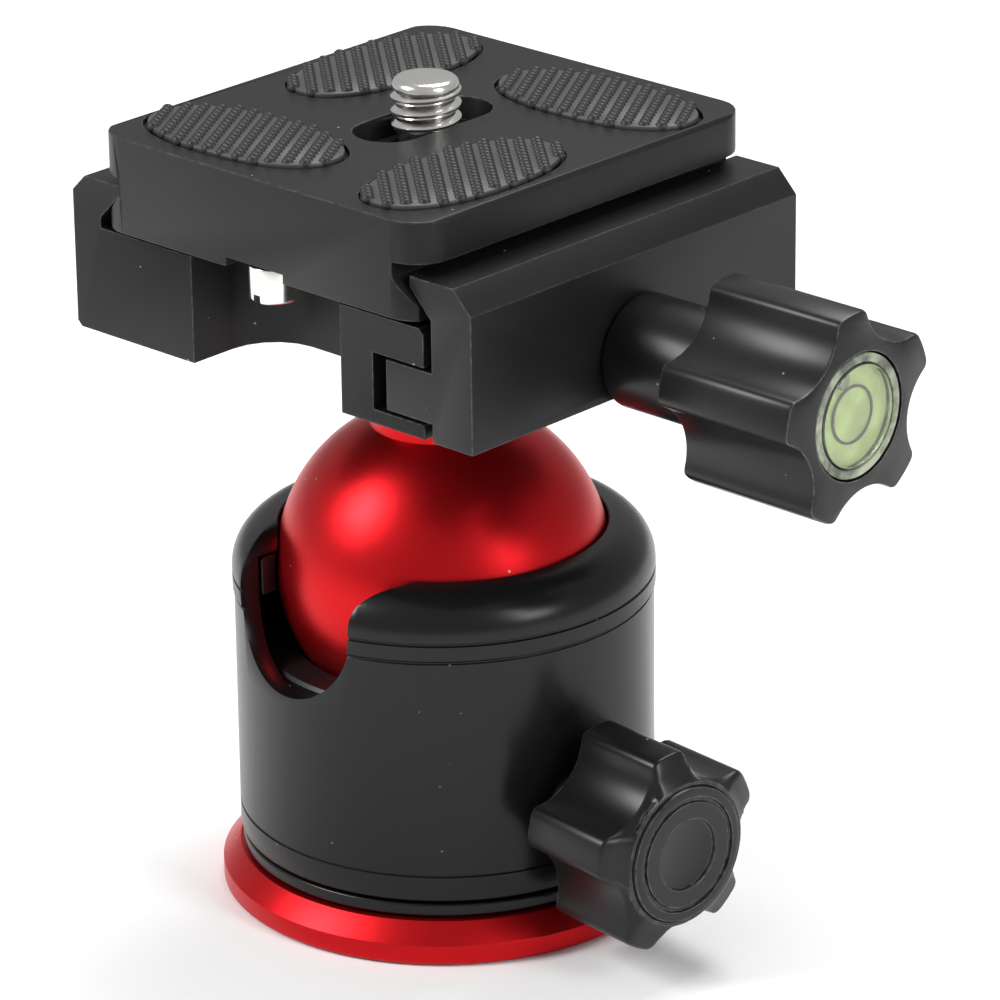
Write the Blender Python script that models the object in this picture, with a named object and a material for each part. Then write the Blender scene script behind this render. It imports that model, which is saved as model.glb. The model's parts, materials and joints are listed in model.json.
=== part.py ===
"""A small camera ball head with a screw-knob quick-release clamp and its sliding camera plate.

Sizes are in millimetres and are turned into metres when a mesh is made. +Z is up, the head stands on z = 0
and the origin is on the axis of its round housing. The clamp screw runs along X and the plate slides along Y.
"""

import math

import bmesh
import bpy
from mathutils import Matrix, Vector

MM = 0.001
FIT = 0.3  # gap between two pieces that touch, slide or screw together

# Pan base, which stays on the tripod
BASE_OVERHANG = 1.8
BASE_RIM_HEIGHT = 1.87
BASE_HEIGHT = 3.63
TRIPOD_THREAD_R = 3.0
INSERT_WALL = 1.55
INSERT_LENGTH = 8.25
INSERT_RECESS = 0.35
HUB_WALL = 2.65
NUT_WALL = 1.8
NUT_HEIGHT = 1.6
NUT_SLOT = 2.0
WASHER_THICKNESS = 0.67

# Ball, neck and the mechanism under the ball
BALL_R = 15.35
NECK_R = 6.6
NECK_LENGTH = 8.59
SEAT_WALL = 1.45
SEAT_BELOW = 1.5
SEAT_ABOVE = 2.1
CUP_BORE_R = 9.5
CUP_HEIGHT = 5.6
CUP_SEAT_RISE = 0.464
CUP_SIDE_GAP = 0.4
RING_BORE_R = 8.4
RING_THICKNESS = 2.35
RING_RECESS_DEPTH = 2.0
WEDGE_SLOPE = 0.25
SPRING_WIRE = 0.9
SPRING_TURNS = 3.0
BLOCK_TRAVEL = 1.0
BLOCK_BACK_GAP = 2.0
BLOCK_HALF_WIDTH = 2.9
BLOCK_FOOT_GAP = 0.5
BLOCK_HEAD_HEIGHT = 2.65

# Housing and its bottom plug
HOUSING_WALL = 1.8
BAND_STEP = 0.15
BAND_HEIGHT = 2.2
LIP_HEIGHT = 4.15
LIP_THICKNESS = 1.75
DOME_R = 3.95
GROOVE_HEIGHT = 2.55
GROOVE_DEPTH = 0.2
PLUG_RIM_HEIGHT = 1.17
PLUG_SEAM = 0.35
PLUG_HEIGHT = 4.57
NOTCH_HALF_WIDTH = 7.5
NOTCH_TOP_FILLET = 2.5
PAN_REST = math.radians(-5.5)

# Lock knob on the side of the housing
LOCK_AXIS_ABOVE_PLUG = 3.9
LOCK_SCREW_R = 2.85
BUSHING_WALL = 1.4
BUSHING_STAND_OUT = 1.0
LOCK_KNOB_STAND_OFF = 2.4
LOCK_KNOB_LENGTH = 9.6
LOCK_CAP_R = 6.4
LOCK_CAP_STUB_R = 4.0
LOCK_CAP_RECESS = 1.6
LOCK_CAP_THICKNESS = 1.1

# The two knobs' shared five-lobed outline
KNOB_LOBES = 5
KNOB_FIRST_LOBE = math.radians(24)
KNOB_LOBE_R = 9.5
SCALLOP_R = 5.5
SCALLOP_CENTRE_R = 12.4
KNOB_EDGE = 0.45

# Quick-release clamp
CLAMP_LENGTH = 42.4
CLAMP_TOP_HEIGHT = 10.05
CHEEK_HEIGHT = 14.55
CHEEK_WALL = 3.5
CHEEK_NOSE = 2.55
CHEEK_NOSE_DROP = 0.95
SIDE_SLACK = 1.5
JAW_SLACK = 1.35
JAW_WALL = 4.65
JAW_NOSE = 2.4
JAW_FINGER_GAP = 0.95
TONGUE_SLOT_DEPTH = 6.05
TONGUE_END_GAP = 1.6
SLOT_BELOW_AXIS = 2.45
SLOT_ABOVE_AXIS = 2.8
CUTOUT_DEPTH = 9.8
CUTOUT_LEFT = -9.9
CUTOUT_WALL = 3.85
CUTOUT_FILLET = 5.0
OUTER_CHAMFER = 1.6
SMALL_CHAMFER = 0.5
CLAMP_BOLT_R = 2.85
BOLT_FLOOR = 0.55
BOLT_BURIED = 5.65
SLEEVE_WALL = 2.0
SLEEVE_LENGTH = 9.9
CLAMP_KNOB_LENGTH = 14.4
BOLT_IN_KNOB = 6.1
JAW_SPRING_R = 1.3
JAW_SPRING_WIRE = 0.5
JAW_SPRING_Y = 13.0
JAW_SPRING_TURNS = 5.0
SPRING_HOLE_WALL = 0.5
NECK_SCREW_R = 2.7
NECK_SCREW_GRIP = 6.35
NECK_SCREW_HEAD_R = 4.9
NECK_SCREW_HEAD_HEIGHT = 3.9
NECK_SCREW_HEAD_GAP = 0.5
HEX_KEY_R = 2.9
HEX_KEY_DEPTH = 2.2

# Bubble level in the end of the clamp knob
LEVEL_R = 5.55
LEVEL_DEPTH = 5.0
LEVEL_WALL = 0.65
LEVEL_FLOOR = 0.8
LEVEL_WINDOW = 1.0

# Camera plate
PLATE_X = -1.0
PLATE_Y = -0.7
PLATE_WIDTH = 40.0
PLATE_LENGTH = 43.0
PLATE_CORNER_R = 3.5
PLATE_LIFT = 0.6
DOVETAIL_INSET = 1.1
DOVETAIL_FOOT = 1.4
DOVETAIL_FLANK = 2.3
DOVETAIL_NECK = 1.4
FLANGE_HEIGHT = 3.83
FLANGE_EDGE = 0.35
GROOVE_HALF_WIDTH = 3.5
GROOVE_CEILING = 0.85
SLOT_TRAVEL = 4.3
STOP_SCREW_INSET = 2.5
STOP_SCREW_R = 2.25
STOP_SCREW_HEAD = 3.25
STOP_SHANK_R = 1.3
STOP_SHANK_LENGTH = 3.35

# Camera screw, 1/4 inch by 20 to the inch
CAMERA_THREAD_R = 3.175
CAMERA_THREAD_PITCH = 1.27
CAMERA_THREAD_SIDE_GAP = 0.125
CAMERA_SCREW_NECK_R = 2.4
CAMERA_SCREW_HEAD_R = 6.0
CAMERA_SCREW_HEAD_HEIGHT = 2.3
CAMERA_SCREW_HEAD_LIFT = 0.4
CAMERA_SCREW_REST = 0.4
CAMERA_THREAD_RISE = 3.87
CAMERA_SLOT_LEDGE = 2.23
CAMERA_WASHER_R = 5.8
CAMERA_WASHER_THICKNESS = 0.6
COIN_SLOT_WIDTH = 1.4
COIN_SLOT_DEPTH = 1.0

# Rubber pads let into the top of the plate
PAD_LENGTH = 22.0
PAD_WIDTH = 11.0
PAD_RISE = 0.7
PAD_SUNK = 0.3
PAD_POWER = 2.3
PAD_SIDE_GAP = 0.15
PAD_WIDE_MARGIN_X = 1.25
PAD_WIDE_MARGIN_Y = 2.0
PAD_LONG_MARGIN_X = 0.75
PAD_LONG_MARGIN_Y = 1.65

SIDES = 36  # sides of the large turned pieces
SMALL_SIDES = 18  # sides of screws, holes and other small round pieces
FAR = 60.0  # how far a cutter runs past what it cuts

# Radii that follow from the sizes above
SEAT_R = BALL_R + FIT
BORE_R = SEAT_R + SEAT_WALL + FIT
HOUSING_R = BORE_R + HOUSING_WALL
BAND_R = HOUSING_R + BAND_STEP
BASE_R = HOUSING_R + BASE_OVERHANG
INSERT_R = TRIPOD_THREAD_R + INSERT_WALL
INSERT_HOLE_R = INSERT_R + FIT
HUB_R = INSERT_HOLE_R + HUB_WALL
NUT_R = HUB_R + FIT + NUT_WALL
SPRING_R = NUT_R + 0.4 + SPRING_WIRE / 2
BLOCK_INNER = SPRING_R + SPRING_WIRE / 2 + FIT + BLOCK_TRAVEL
BLOCK_OUTER = BORE_R - BLOCK_BACK_GAP
BLOCK_MIDDLE = (BLOCK_INNER + BLOCK_OUTER) / 2

# Heights that follow from the sizes above
PLUG_Z = BASE_HEIGHT + FIT
PLUG_RIM_TOP_Z = PLUG_Z + PLUG_RIM_HEIGHT
PLUG_TOP_Z = PLUG_Z + PLUG_HEIGHT
HOUSING_Z = PLUG_RIM_TOP_Z + PLUG_SEAM
NUT_Z = PLUG_TOP_Z + FIT
HUB_TOP_Z = NUT_Z + NUT_HEIGHT + 0.2
LOCK_Z = PLUG_TOP_Z + LOCK_AXIS_ABOVE_PLUG
BLOCK_TOP_Z = LOCK_Z + BLOCK_HEAD_HEIGHT
RING_TOP_Z = BLOCK_TOP_Z + FIT + RING_THICKNESS
CUP_Z = RING_TOP_Z + FIT
BALL_Z = CUP_Z + CUP_SEAT_RISE + math.sqrt(SEAT_R**2 - CUP_BORE_R**2)
NOTCH_Z = BALL_Z - 0.3
HOUSING_TOP_Z = BALL_Z + LIP_HEIGHT
NECK_TOP_Z = BALL_Z + math.sqrt(BALL_R**2 - NECK_R**2) + NECK_LENGTH
CLAMP_Z = NECK_TOP_Z + FIT
CLAMP_SCREW_Z = CLAMP_Z + BOLT_FLOOR + CLAMP_BOLT_R + FIT + 0.05
CLAMP_TOP_Z = CLAMP_Z + CLAMP_TOP_HEIGHT
CHEEK_TOP_Z = CLAMP_Z + CHEEK_HEIGHT
PLATE_Z = CLAMP_TOP_Z + PLATE_LIFT
PLATE_FLANK_Z = PLATE_Z + DOVETAIL_FOOT
PLATE_NECK_Z = PLATE_FLANK_Z + DOVETAIL_FLANK
PLATE_FLANGE_Z = PLATE_NECK_Z + DOVETAIL_NECK
PLATE_TOP_Z = PLATE_FLANGE_Z + FLANGE_HEIGHT

# Places across the clamp, along X
DOVETAIL_HALF = PLATE_WIDTH / 2 - DOVETAIL_INSET
CHANNEL_LEFT = PLATE_X - DOVETAIL_HALF - SIDE_SLACK
CLAMP_LEFT = CHANNEL_LEFT - CHEEK_WALL
JAW_FACE = PLATE_X + DOVETAIL_HALF + JAW_SLACK
JAW_RIGHT = JAW_FACE + JAW_WALL
FINGER_RIGHT = JAW_FACE - JAW_FINGER_GAP
TONGUE_SLOT_X = FINGER_RIGHT - TONGUE_SLOT_DEPTH
TONGUE_LEFT = TONGUE_SLOT_X + TONGUE_END_GAP
CUTOUT_RIGHT = TONGUE_SLOT_X - CUTOUT_WALL
SLEEVE_X = JAW_RIGHT + FIT
CLAMP_KNOB_X = SLEEVE_X + SLEEVE_LENGTH + FIT
LOCK_KNOB_X = HOUSING_R + LOCK_KNOB_STAND_OFF


def clear_scene():
    """Remove every object of the scene, and the meshes that nothing uses."""
    for obj in list(bpy.data.objects):
        bpy.data.objects.remove(obj, do_unlink=True)


def paint(name, colour, roughness, metallic):
    """A Principled material with an even colour."""
    made = bpy.data.materials.new(name)
    made.use_nodes = True
    shader = made.node_tree.nodes["Principled BSDF"]
    shader.inputs["Base Color"].default_value = (*colour, 1.0)
    shader.inputs["Roughness"].default_value = roughness
    shader.inputs["Metallic"].default_value = metallic
    made.diffuse_color = (*colour, 1.0)
    return made


def pivot(name, place, turn=0.0):
    """An empty on a joint's axis. The pieces of one moving body are its children."""
    empty = bpy.data.objects.new(name, None)
    bpy.context.scene.collection.objects.link(empty)
    empty.location = Vector(place) * MM
    empty.rotation_euler = (0.0, 0.0, turn)
    return empty


def finished(bm, name, material, parent, sharp=math.radians(35)):
    """Turn a closed bmesh in millimetres into a smooth-shaded object in metres."""
    bmesh.ops.remove_doubles(bm, verts=bm.verts, dist=1e-5)
    bmesh.ops.recalc_face_normals(bm, faces=bm.faces)
    bmesh.ops.scale(bm, vec=(MM, MM, MM), verts=bm.verts)
    mesh = bpy.data.meshes.new(name)
    bm.to_mesh(mesh)
    bm.free()
    mesh.shade_smooth()
    mesh.set_sharp_from_angle(angle=sharp)
    obj = bpy.data.objects.new(name, mesh)
    bpy.context.scene.collection.objects.link(obj)
    obj.parent = parent
    if material:
        mesh.materials.append(material)
    return obj


def along(bm, axis):
    """Turn a shape made along Z so that it runs along X or Y, with its outline's first direction kept level."""
    turns = {
        "X": Matrix(((0, 0, 1), (1, 0, 0), (0, 1, 0))).to_4x4(),
        "Y": Matrix(((1, 0, 0), (0, 0, 1), (0, 1, 0))).to_4x4(),
        "Z": Matrix.Identity(4),
    }
    bmesh.ops.transform(bm, matrix=turns[axis], verts=bm.verts)


def turned(name, profile, material=None, parent=None, axis="Z", sides=SIDES, place=(0, 0, 0)):
    """A closed outline of (radius, height) points turned about the axis."""
    bm = bmesh.new()
    verts = [bm.verts.new((radius, 0.0, height)) for radius, height in profile]
    for first, second in zip(verts, verts[1:] + verts[:1]):
        if first.co.x > 0 or second.co.x > 0:
            bm.edges.new((first, second))
    bmesh.ops.spin(bm, geom=bm.verts[:] + bm.edges[:], cent=(0, 0, 0), axis=(0, 0, 1),
                   angle=math.tau, steps=sides, use_merge=True)
    along(bm, axis)
    bmesh.ops.translate(bm, vec=place, verts=bm.verts)
    return finished(bm, name, material, parent)


def extruded(name, outline, low, high, material=None, parent=None, axis="Z", place=(0, 0, 0)):
    """A flat outline pushed along the axis from low to high."""
    bm = bmesh.new()
    face = bm.faces.new([bm.verts.new((u, v, low)) for u, v in outline])
    pushed = bmesh.ops.extrude_face_region(bm, geom=[face])
    moved = [item for item in pushed["geom"] if isinstance(item, bmesh.types.BMVert)]
    bmesh.ops.translate(bm, vec=(0, 0, high - low), verts=moved)
    along(bm, axis)
    bmesh.ops.translate(bm, vec=place, verts=bm.verts)
    return finished(bm, name, material, parent)


def coil(name, radius, wire_r, length, turns, material, parent, axis, place, steps=12, wire_sides=6):
    """A coil spring: a round wire section spun up its helix, with closed ends."""
    bm = bmesh.new()
    upright = Matrix.Translation((radius, 0, wire_r)) @ Matrix.Rotation(math.pi / 2, 4, "X")
    bmesh.ops.create_circle(bm, cap_ends=True, segments=wire_sides, radius=wire_r, matrix=upright)
    count = round(steps * turns)
    rise = (length - 2 * wire_r) / count
    bmesh.ops.spin(bm, geom=bm.verts[:] + bm.edges[:] + bm.faces[:], cent=(0, 0, 0), axis=(0, 0, 1),
                   dvec=(0, 0, rise), angle=math.tau * turns, steps=count)
    along(bm, axis)
    bmesh.ops.translate(bm, vec=place, verts=bm.verts)
    return finished(bm, name, material, parent)


def arc(centre_u, centre_v, radius, start, end, steps):
    """Points along a circular arc, angles in radians, both ends included."""
    angles = [start + (end - start) * step / steps for step in range(steps + 1)]
    return [(centre_u + radius * math.cos(a), centre_v + radius * math.sin(a)) for a in angles]


def filleted(corners, steps=5):
    """A closed outline from (u, v, fillet radius) corners. A radius of 0 leaves a sharp corner."""
    points = []
    for index, (u, v, radius) in enumerate(corners):
        here = Vector((u, v))
        if radius <= 0:
            points.append((u, v))
            continue
        back = (Vector(corners[index - 1][:2]) - here).normalized()
        ahead = (Vector(corners[(index + 1) % len(corners)][:2]) - here).normalized()
        half = back.angle(ahead) / 2
        centre = here + (back + ahead).normalized() * radius / math.sin(half)
        arm = here + back * radius / math.tan(half) - centre
        turn = math.copysign(math.pi - 2 * half, ahead.x * back.y - ahead.y * back.x)
        start = math.atan2(arm.y, arm.x)
        points += arc(centre.x, centre.y, radius, start, start + turn, steps)
    return points


def slot_outline(half_width, half_length, steps=10):
    """A slot along the second direction with round ends."""
    straight = half_length - half_width
    upper = arc(0, straight, half_width, 0, math.pi, steps)
    lower = arc(0, -straight, half_width, math.pi, math.tau, steps)
    return upper + lower


def lobed_outline(lobe_r):
    """The hand knobs' outline: round lobes with a circular scallop between each two."""
    cosine = (lobe_r**2 + SCALLOP_CENTRE_R**2 - SCALLOP_R**2) / (2 * lobe_r * SCALLOP_CENTRE_R)
    half_gap = math.acos(cosine)
    pitch = math.tau / KNOB_LOBES
    reach = math.atan2(lobe_r * math.sin(half_gap), SCALLOP_CENTRE_R - lobe_r * math.cos(half_gap))
    points = []
    for lobe in range(KNOB_LOBES):
        middle = KNOB_FIRST_LOBE + pitch * lobe
        half_lobe = pitch / 2 - half_gap
        points += arc(0, 0, lobe_r, middle - half_lobe, middle + half_lobe, 4)
        gap = middle + pitch / 2
        centre = (SCALLOP_CENTRE_R * math.cos(gap), SCALLOP_CENTRE_R * math.sin(gap))
        dip = arc(*centre, SCALLOP_R, gap + math.pi + reach, gap + math.pi - reach, 8)
        points += dip[1:-1]
    return points


def cut(target, cutter):
    """Take the cutter's shape away from the target."""
    boolean = target.modifiers.new("cut " + cutter.name, "BOOLEAN")
    boolean.operation = "DIFFERENCE"
    boolean.solver = "EXACT"
    boolean.object = cutter
    cutter.hide_render = True
    cutter.display_type = "WIRE"


def keep_inside(target, limit):
    """Keep only what lies inside the limiting shape."""
    cut(target, limit)
    target.modifiers[-1].operation = "INTERSECT"


def break_edges(target, width, segments=1, angle=math.radians(40)):
    """Round the sharp edges a little."""
    bevel = target.modifiers.new("edges", "BEVEL")
    bevel.width = width * MM
    bevel.segments = segments
    bevel.limit_method = "ANGLE"
    bevel.angle_limit = angle


def round_bar(radius, low, high, **options):
    """A plain round bar along the axis."""
    return turned(profile=[(0, low), (radius, low), (radius, high), (0, high)], **options)


def ring_profile(inner, outer, low, high):
    """A washer's or a tube's outline."""
    return [(inner, low), (outer, low), (outer, high), (inner, high)]


def sphere_radius(radius, height):
    """How wide a sphere is at this height from its centre."""
    return math.sqrt(radius**2 - height**2)


# ---- pan base ----


def make_pan_base(material):
    """A broad foot with a hub that carries the head on the tripod screw."""
    hub_hole_top = INSERT_RECESS + INSERT_LENGTH + 0.4
    profile = [
        (INSERT_HOLE_R, 0), (BASE_R - 0.3, 0), (BASE_R, 0.3), (BASE_R, BASE_RIM_HEIGHT),
        (HOUSING_R + 0.1, BASE_HEIGHT), (HUB_R, BASE_HEIGHT), (HUB_R, HUB_TOP_Z), (0, HUB_TOP_Z),
        (0, hub_hole_top), (INSERT_HOLE_R, hub_hole_top),
    ]
    turned("pan_base", profile, material)


def make_thread_insert(material):
    """The steel insert with the tripod thread, set a little into the foot."""
    top = INSERT_RECESS + INSERT_LENGTH
    mouth = 0.5
    profile = [
        (TRIPOD_THREAD_R + mouth, INSERT_RECESS), (INSERT_R, INSERT_RECESS), (INSERT_R, top),
        (TRIPOD_THREAD_R, top), (TRIPOD_THREAD_R, INSERT_RECESS + mouth),
    ]
    turned("tripod_thread_insert", profile, material, sides=SMALL_SIDES)


def make_retaining_nut(material):
    """The ring nut on the hub that keeps the housing on the base, with two spanner slots."""
    nut = turned("pan_retaining_nut", ring_profile(HUB_R + FIT, NUT_R, NUT_Z, NUT_Z + NUT_HEIGHT), material)
    half = NUT_SLOT / 2
    outline = [(-FAR, -half), (FAR, -half), (FAR, half), (-FAR, half)]
    low = NUT_Z + NUT_HEIGHT / 2
    cut(nut, extruded("nut_slot_cutter", outline, low, low + NUT_HEIGHT))


def make_glide_washer(material):
    """The slip washer between the base and the plug that turns on it."""
    turned("pan_glide_washer", ring_profile(HUB_R + 0.4, washer_r(), PLUG_Z, PLUG_Z + WASHER_THICKNESS), material)


def washer_r():
    """The slip washer's outer radius, about midway under the plug."""
    return (HUB_R + HOUSING_R) / 2 + 0.65


# ---- housing, turning on the base ----


def make_housing(material, parent):
    """The round casing with its drop notch, its domed lip that keeps the ball in and the lock screw's hole."""
    band_z = BALL_Z - BAND_HEIGHT + 0.2
    groove_z = HOUSING_Z + GROOVE_HEIGHT
    lip_z = HOUSING_TOP_Z - LIP_THICKNESS
    dome = arc(BAND_R + 0.05 - DOME_R, HOUSING_TOP_Z - DOME_R, DOME_R, 0, math.pi / 2, 6)
    profile = [
        (BORE_R, HOUSING_Z), (HOUSING_R - 0.2, HOUSING_Z), (HOUSING_R, HOUSING_Z + 0.2),
        (HOUSING_R, groove_z - 0.15), (HOUSING_R - GROOVE_DEPTH, groove_z), (HOUSING_R, groove_z + 0.15),
        (HOUSING_R, band_z), (BAND_R, band_z + 0.15), (BAND_R, BALL_Z - 0.4), (BAND_R - 0.15, BALL_Z - 0.25),
        (BAND_R, BALL_Z - 0.1), *dome,
        (sphere_radius(SEAT_R, LIP_HEIGHT), HOUSING_TOP_Z),
        (sphere_radius(SEAT_R, lip_z - BALL_Z), lip_z), (BORE_R, lip_z),
    ]
    housing = turned("housing", profile, material, parent)
    cut(housing, make_notch_cutter(parent, "housing_notch_cutter"))
    hole_r = LOCK_SCREW_R + 0.35 + BUSHING_WALL + FIT
    hole = round_bar(hole_r, 0, FAR, name="lock_hole_cutter", parent=parent, axis="X", sides=SMALL_SIDES,
                     place=(0, 0, LOCK_Z))
    cut(housing, hole)


def make_notch_cutter(parent, name):
    """The drop notch: a slot in the front wall with a round bottom and softened top corners."""
    half = NOTCH_HALF_WIDTH
    bottom = arc(0, NOTCH_Z, half, math.pi, math.tau, 12)
    fillet_z = HOUSING_TOP_Z - NOTCH_TOP_FILLET
    wide = half + NOTCH_TOP_FILLET
    right = arc(wide, fillet_z, NOTCH_TOP_FILLET, math.pi, math.pi / 2, 4)
    left = [(-u, v) for u, v in reversed(right)]
    outline = bottom + right + [(wide, HOUSING_TOP_Z + FAR), (-wide, HOUSING_TOP_Z + FAR)] + left
    return extruded(name, outline, -FAR, -1.0, parent=parent, axis="Y")


def make_bottom_plug(material, parent):
    """The plug that closes the casing from below and turns on the base."""
    recess_z = PLUG_Z + WASHER_THICKNESS + FIT
    rim_r = HOUSING_R - 0.15
    profile = [
        (HUB_R + 0.5, recess_z), (washer_r() + FIT, recess_z), (washer_r() + FIT, PLUG_Z), (rim_r, PLUG_Z),
        (rim_r, PLUG_RIM_TOP_Z), (BORE_R - FIT, PLUG_RIM_TOP_Z), (BORE_R - FIT, PLUG_TOP_Z),
        (HUB_R + 0.5, PLUG_TOP_Z),
    ]
    turned("bottom_plug", profile, material, parent)


def make_upper_seat(material, parent):
    """The plastic ring above the ball's middle, open at the notch, that the ball is pressed against."""
    low, high = -SEAT_BELOW, SEAT_ABOVE
    inner = [(sphere_radius(SEAT_R, h), BALL_Z + h) for h in (high, high / 2, 0.0, low)]
    profile = [*inner, (BORE_R - FIT, BALL_Z + low), (BORE_R - FIT, BALL_Z + high)]
    seat = turned("upper_ball_seat", profile, material, parent)
    cut(seat, make_notch_cutter(parent, "seat_notch_cutter"))


def make_bushing(material, parent):
    """The threaded bushing in the casing's wall that the lock screw runs in."""
    inner = LOCK_SCREW_R + 0.35
    profile = ring_profile(inner, inner + BUSHING_WALL, BORE_R + 0.1, HOUSING_R + BUSHING_STAND_OUT)
    turned("lock_screw_bushing", profile, material, parent, axis="X", sides=SMALL_SIDES, place=(0, 0, LOCK_Z))


def make_cup_spring(material, parent):
    """The light spring that keeps the lower cup against the ball."""
    low = PLUG_TOP_Z + FIT
    top = ring_underside(SPRING_R) + RING_RECESS_DEPTH - FIT
    coil("cup_spring", SPRING_R, SPRING_WIRE / 2, top - low, SPRING_TURNS, material, parent, "Z",
         (0, 0, low), steps=14, wire_sides=5)


# ---- lock knob, its screw and the wedge it drives ----


def make_thrust_block(material, parent):
    """The wedge in front of the lock screw. Its sloping head lifts the pressure ring as it moves inwards."""
    foot = PLUG_TOP_Z + BLOCK_FOOT_GAP - LOCK_Z
    outline = [
        (BLOCK_INNER, foot), (BLOCK_OUTER, foot), (BLOCK_OUTER, wedge_head(BLOCK_OUTER)),
        (BLOCK_INNER, wedge_head(BLOCK_INNER)),
    ]
    extruded("lock_thrust_block", outline, -BLOCK_HALF_WIDTH, BLOCK_HALF_WIDTH, material, parent, axis="Y")


def wedge_head(radius):
    """Height of the wedge's sloping head above the lock screw's axis."""
    return BLOCK_HEAD_HEIGHT + WEDGE_SLOPE * (radius - BLOCK_MIDDLE)


def ring_underside(radius):
    """Height of the pressure ring's conical underside."""
    return LOCK_Z + wedge_head(radius) + FIT


def make_lock_screw(material, parent):
    """The screw that the lock knob turns."""
    low, high = BLOCK_OUTER + FIT, LOCK_KNOB_X + LOCK_KNOB_LENGTH - LOCK_CAP_RECESS - FIT
    chamfer = 0.5
    profile = [
        (0, low), (LOCK_SCREW_R - chamfer, low), (LOCK_SCREW_R, low + chamfer), (LOCK_SCREW_R, high), (0, high),
    ]
    turned("lock_screw", profile, material, parent, axis="X", sides=SMALL_SIDES)


def make_lock_knob(material, parent):
    """The five-lobed knob that locks the ball."""
    low, high = LOCK_KNOB_X, LOCK_KNOB_X + LOCK_KNOB_LENGTH
    knob = extruded("lock_knob", lobed_outline(KNOB_LOBE_R), low, high, material, parent, axis="X")
    break_edges(knob, KNOB_EDGE * 1.6)
    shaft_r, cap_r = LOCK_SCREW_R + 0.35, LOCK_CAP_STUB_R + FIT
    recess = high - LOCK_CAP_RECESS
    profile = [
        (0, low - 1), (shaft_r, low - 1), (shaft_r, recess), (cap_r, recess), (cap_r, high + 1), (0, high + 1),
    ]
    cut(knob, turned("lock_knob_bore_cutter", profile, parent=parent, axis="X", sides=SMALL_SIDES))


def make_lock_cap(material, parent):
    """The round cap over the lock knob's screw, with a shallow dish in its face."""
    seat = LOCK_KNOB_X + LOCK_KNOB_LENGTH
    foot, low = seat - LOCK_CAP_RECESS + FIT, seat + FIT
    face = low + LOCK_CAP_THICKNESS
    dish_r, dish = LOCK_CAP_R / 2, 0.4
    profile = [
        (0, foot), (LOCK_CAP_STUB_R, foot), (LOCK_CAP_STUB_R, low), (LOCK_CAP_R, low),
        (LOCK_CAP_R, face - 0.35), (LOCK_CAP_R - 0.35, face), (dish_r + dish, face), (dish_r, face - dish),
        (0, face - dish),
    ]
    turned("lock_knob_cap", profile, material, parent, axis="X", sides=28)


# ---- pressure ring, cup and ball ----


def make_pressure_ring(material, parent):
    """The ring between the wedge and the cup, with a conical underside and a recess for the spring."""
    outer = BORE_R - CUP_SIDE_GAP
    recess_r = SPRING_R + SPRING_WIRE / 2 + FIT
    recess_z = ring_underside(SPRING_R) + RING_RECESS_DEPTH
    profile = [
        (RING_BORE_R, recess_z), (recess_r, recess_z), (recess_r, ring_underside(recess_r)),
        (outer, ring_underside(outer)), (outer, RING_TOP_Z), (RING_BORE_R, RING_TOP_Z),
    ]
    turned("pressure_ring", profile, material, parent)


def make_lower_cup(material, parent):
    """The cup that the ball sits in."""
    outer, top = BORE_R - CUP_SIDE_GAP, CUP_Z + CUP_HEIGHT
    low = -math.sqrt(SEAT_R**2 - CUP_BORE_R**2)
    heights = [low + (top - BALL_Z - low) * step / 5 for step in range(6)]
    seat = [(sphere_radius(SEAT_R, h), BALL_Z + h) for h in heights]
    profile = [*seat, (outer, top), (outer, CUP_Z), (CUP_BORE_R, CUP_Z)]
    turned("lower_ball_cup", profile, material, parent)


def make_ball(material, parent):
    """The ball with its neck, in one piece, and the neck screw's hole in the top."""
    join = math.asin(math.sqrt(BALL_R**2 - NECK_R**2) / BALL_R)
    sphere = arc(0, 0, BALL_R, -math.pi / 2, join, 14)
    neck_top = NECK_TOP_Z - BALL_Z
    hole_r, hole_z = NECK_SCREW_R + FIT, neck_top - NECK_SCREW_GRIP - FIT
    profile = [
        (0, -BALL_R), *sphere[1:], (NECK_R, neck_top - 0.3), (NECK_R - 0.3, neck_top), (hole_r, neck_top),
        (hole_r, hole_z), (0, hole_z),
    ]
    turned("ball", profile, material, parent)


# ---- quick-release clamp ----


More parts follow.
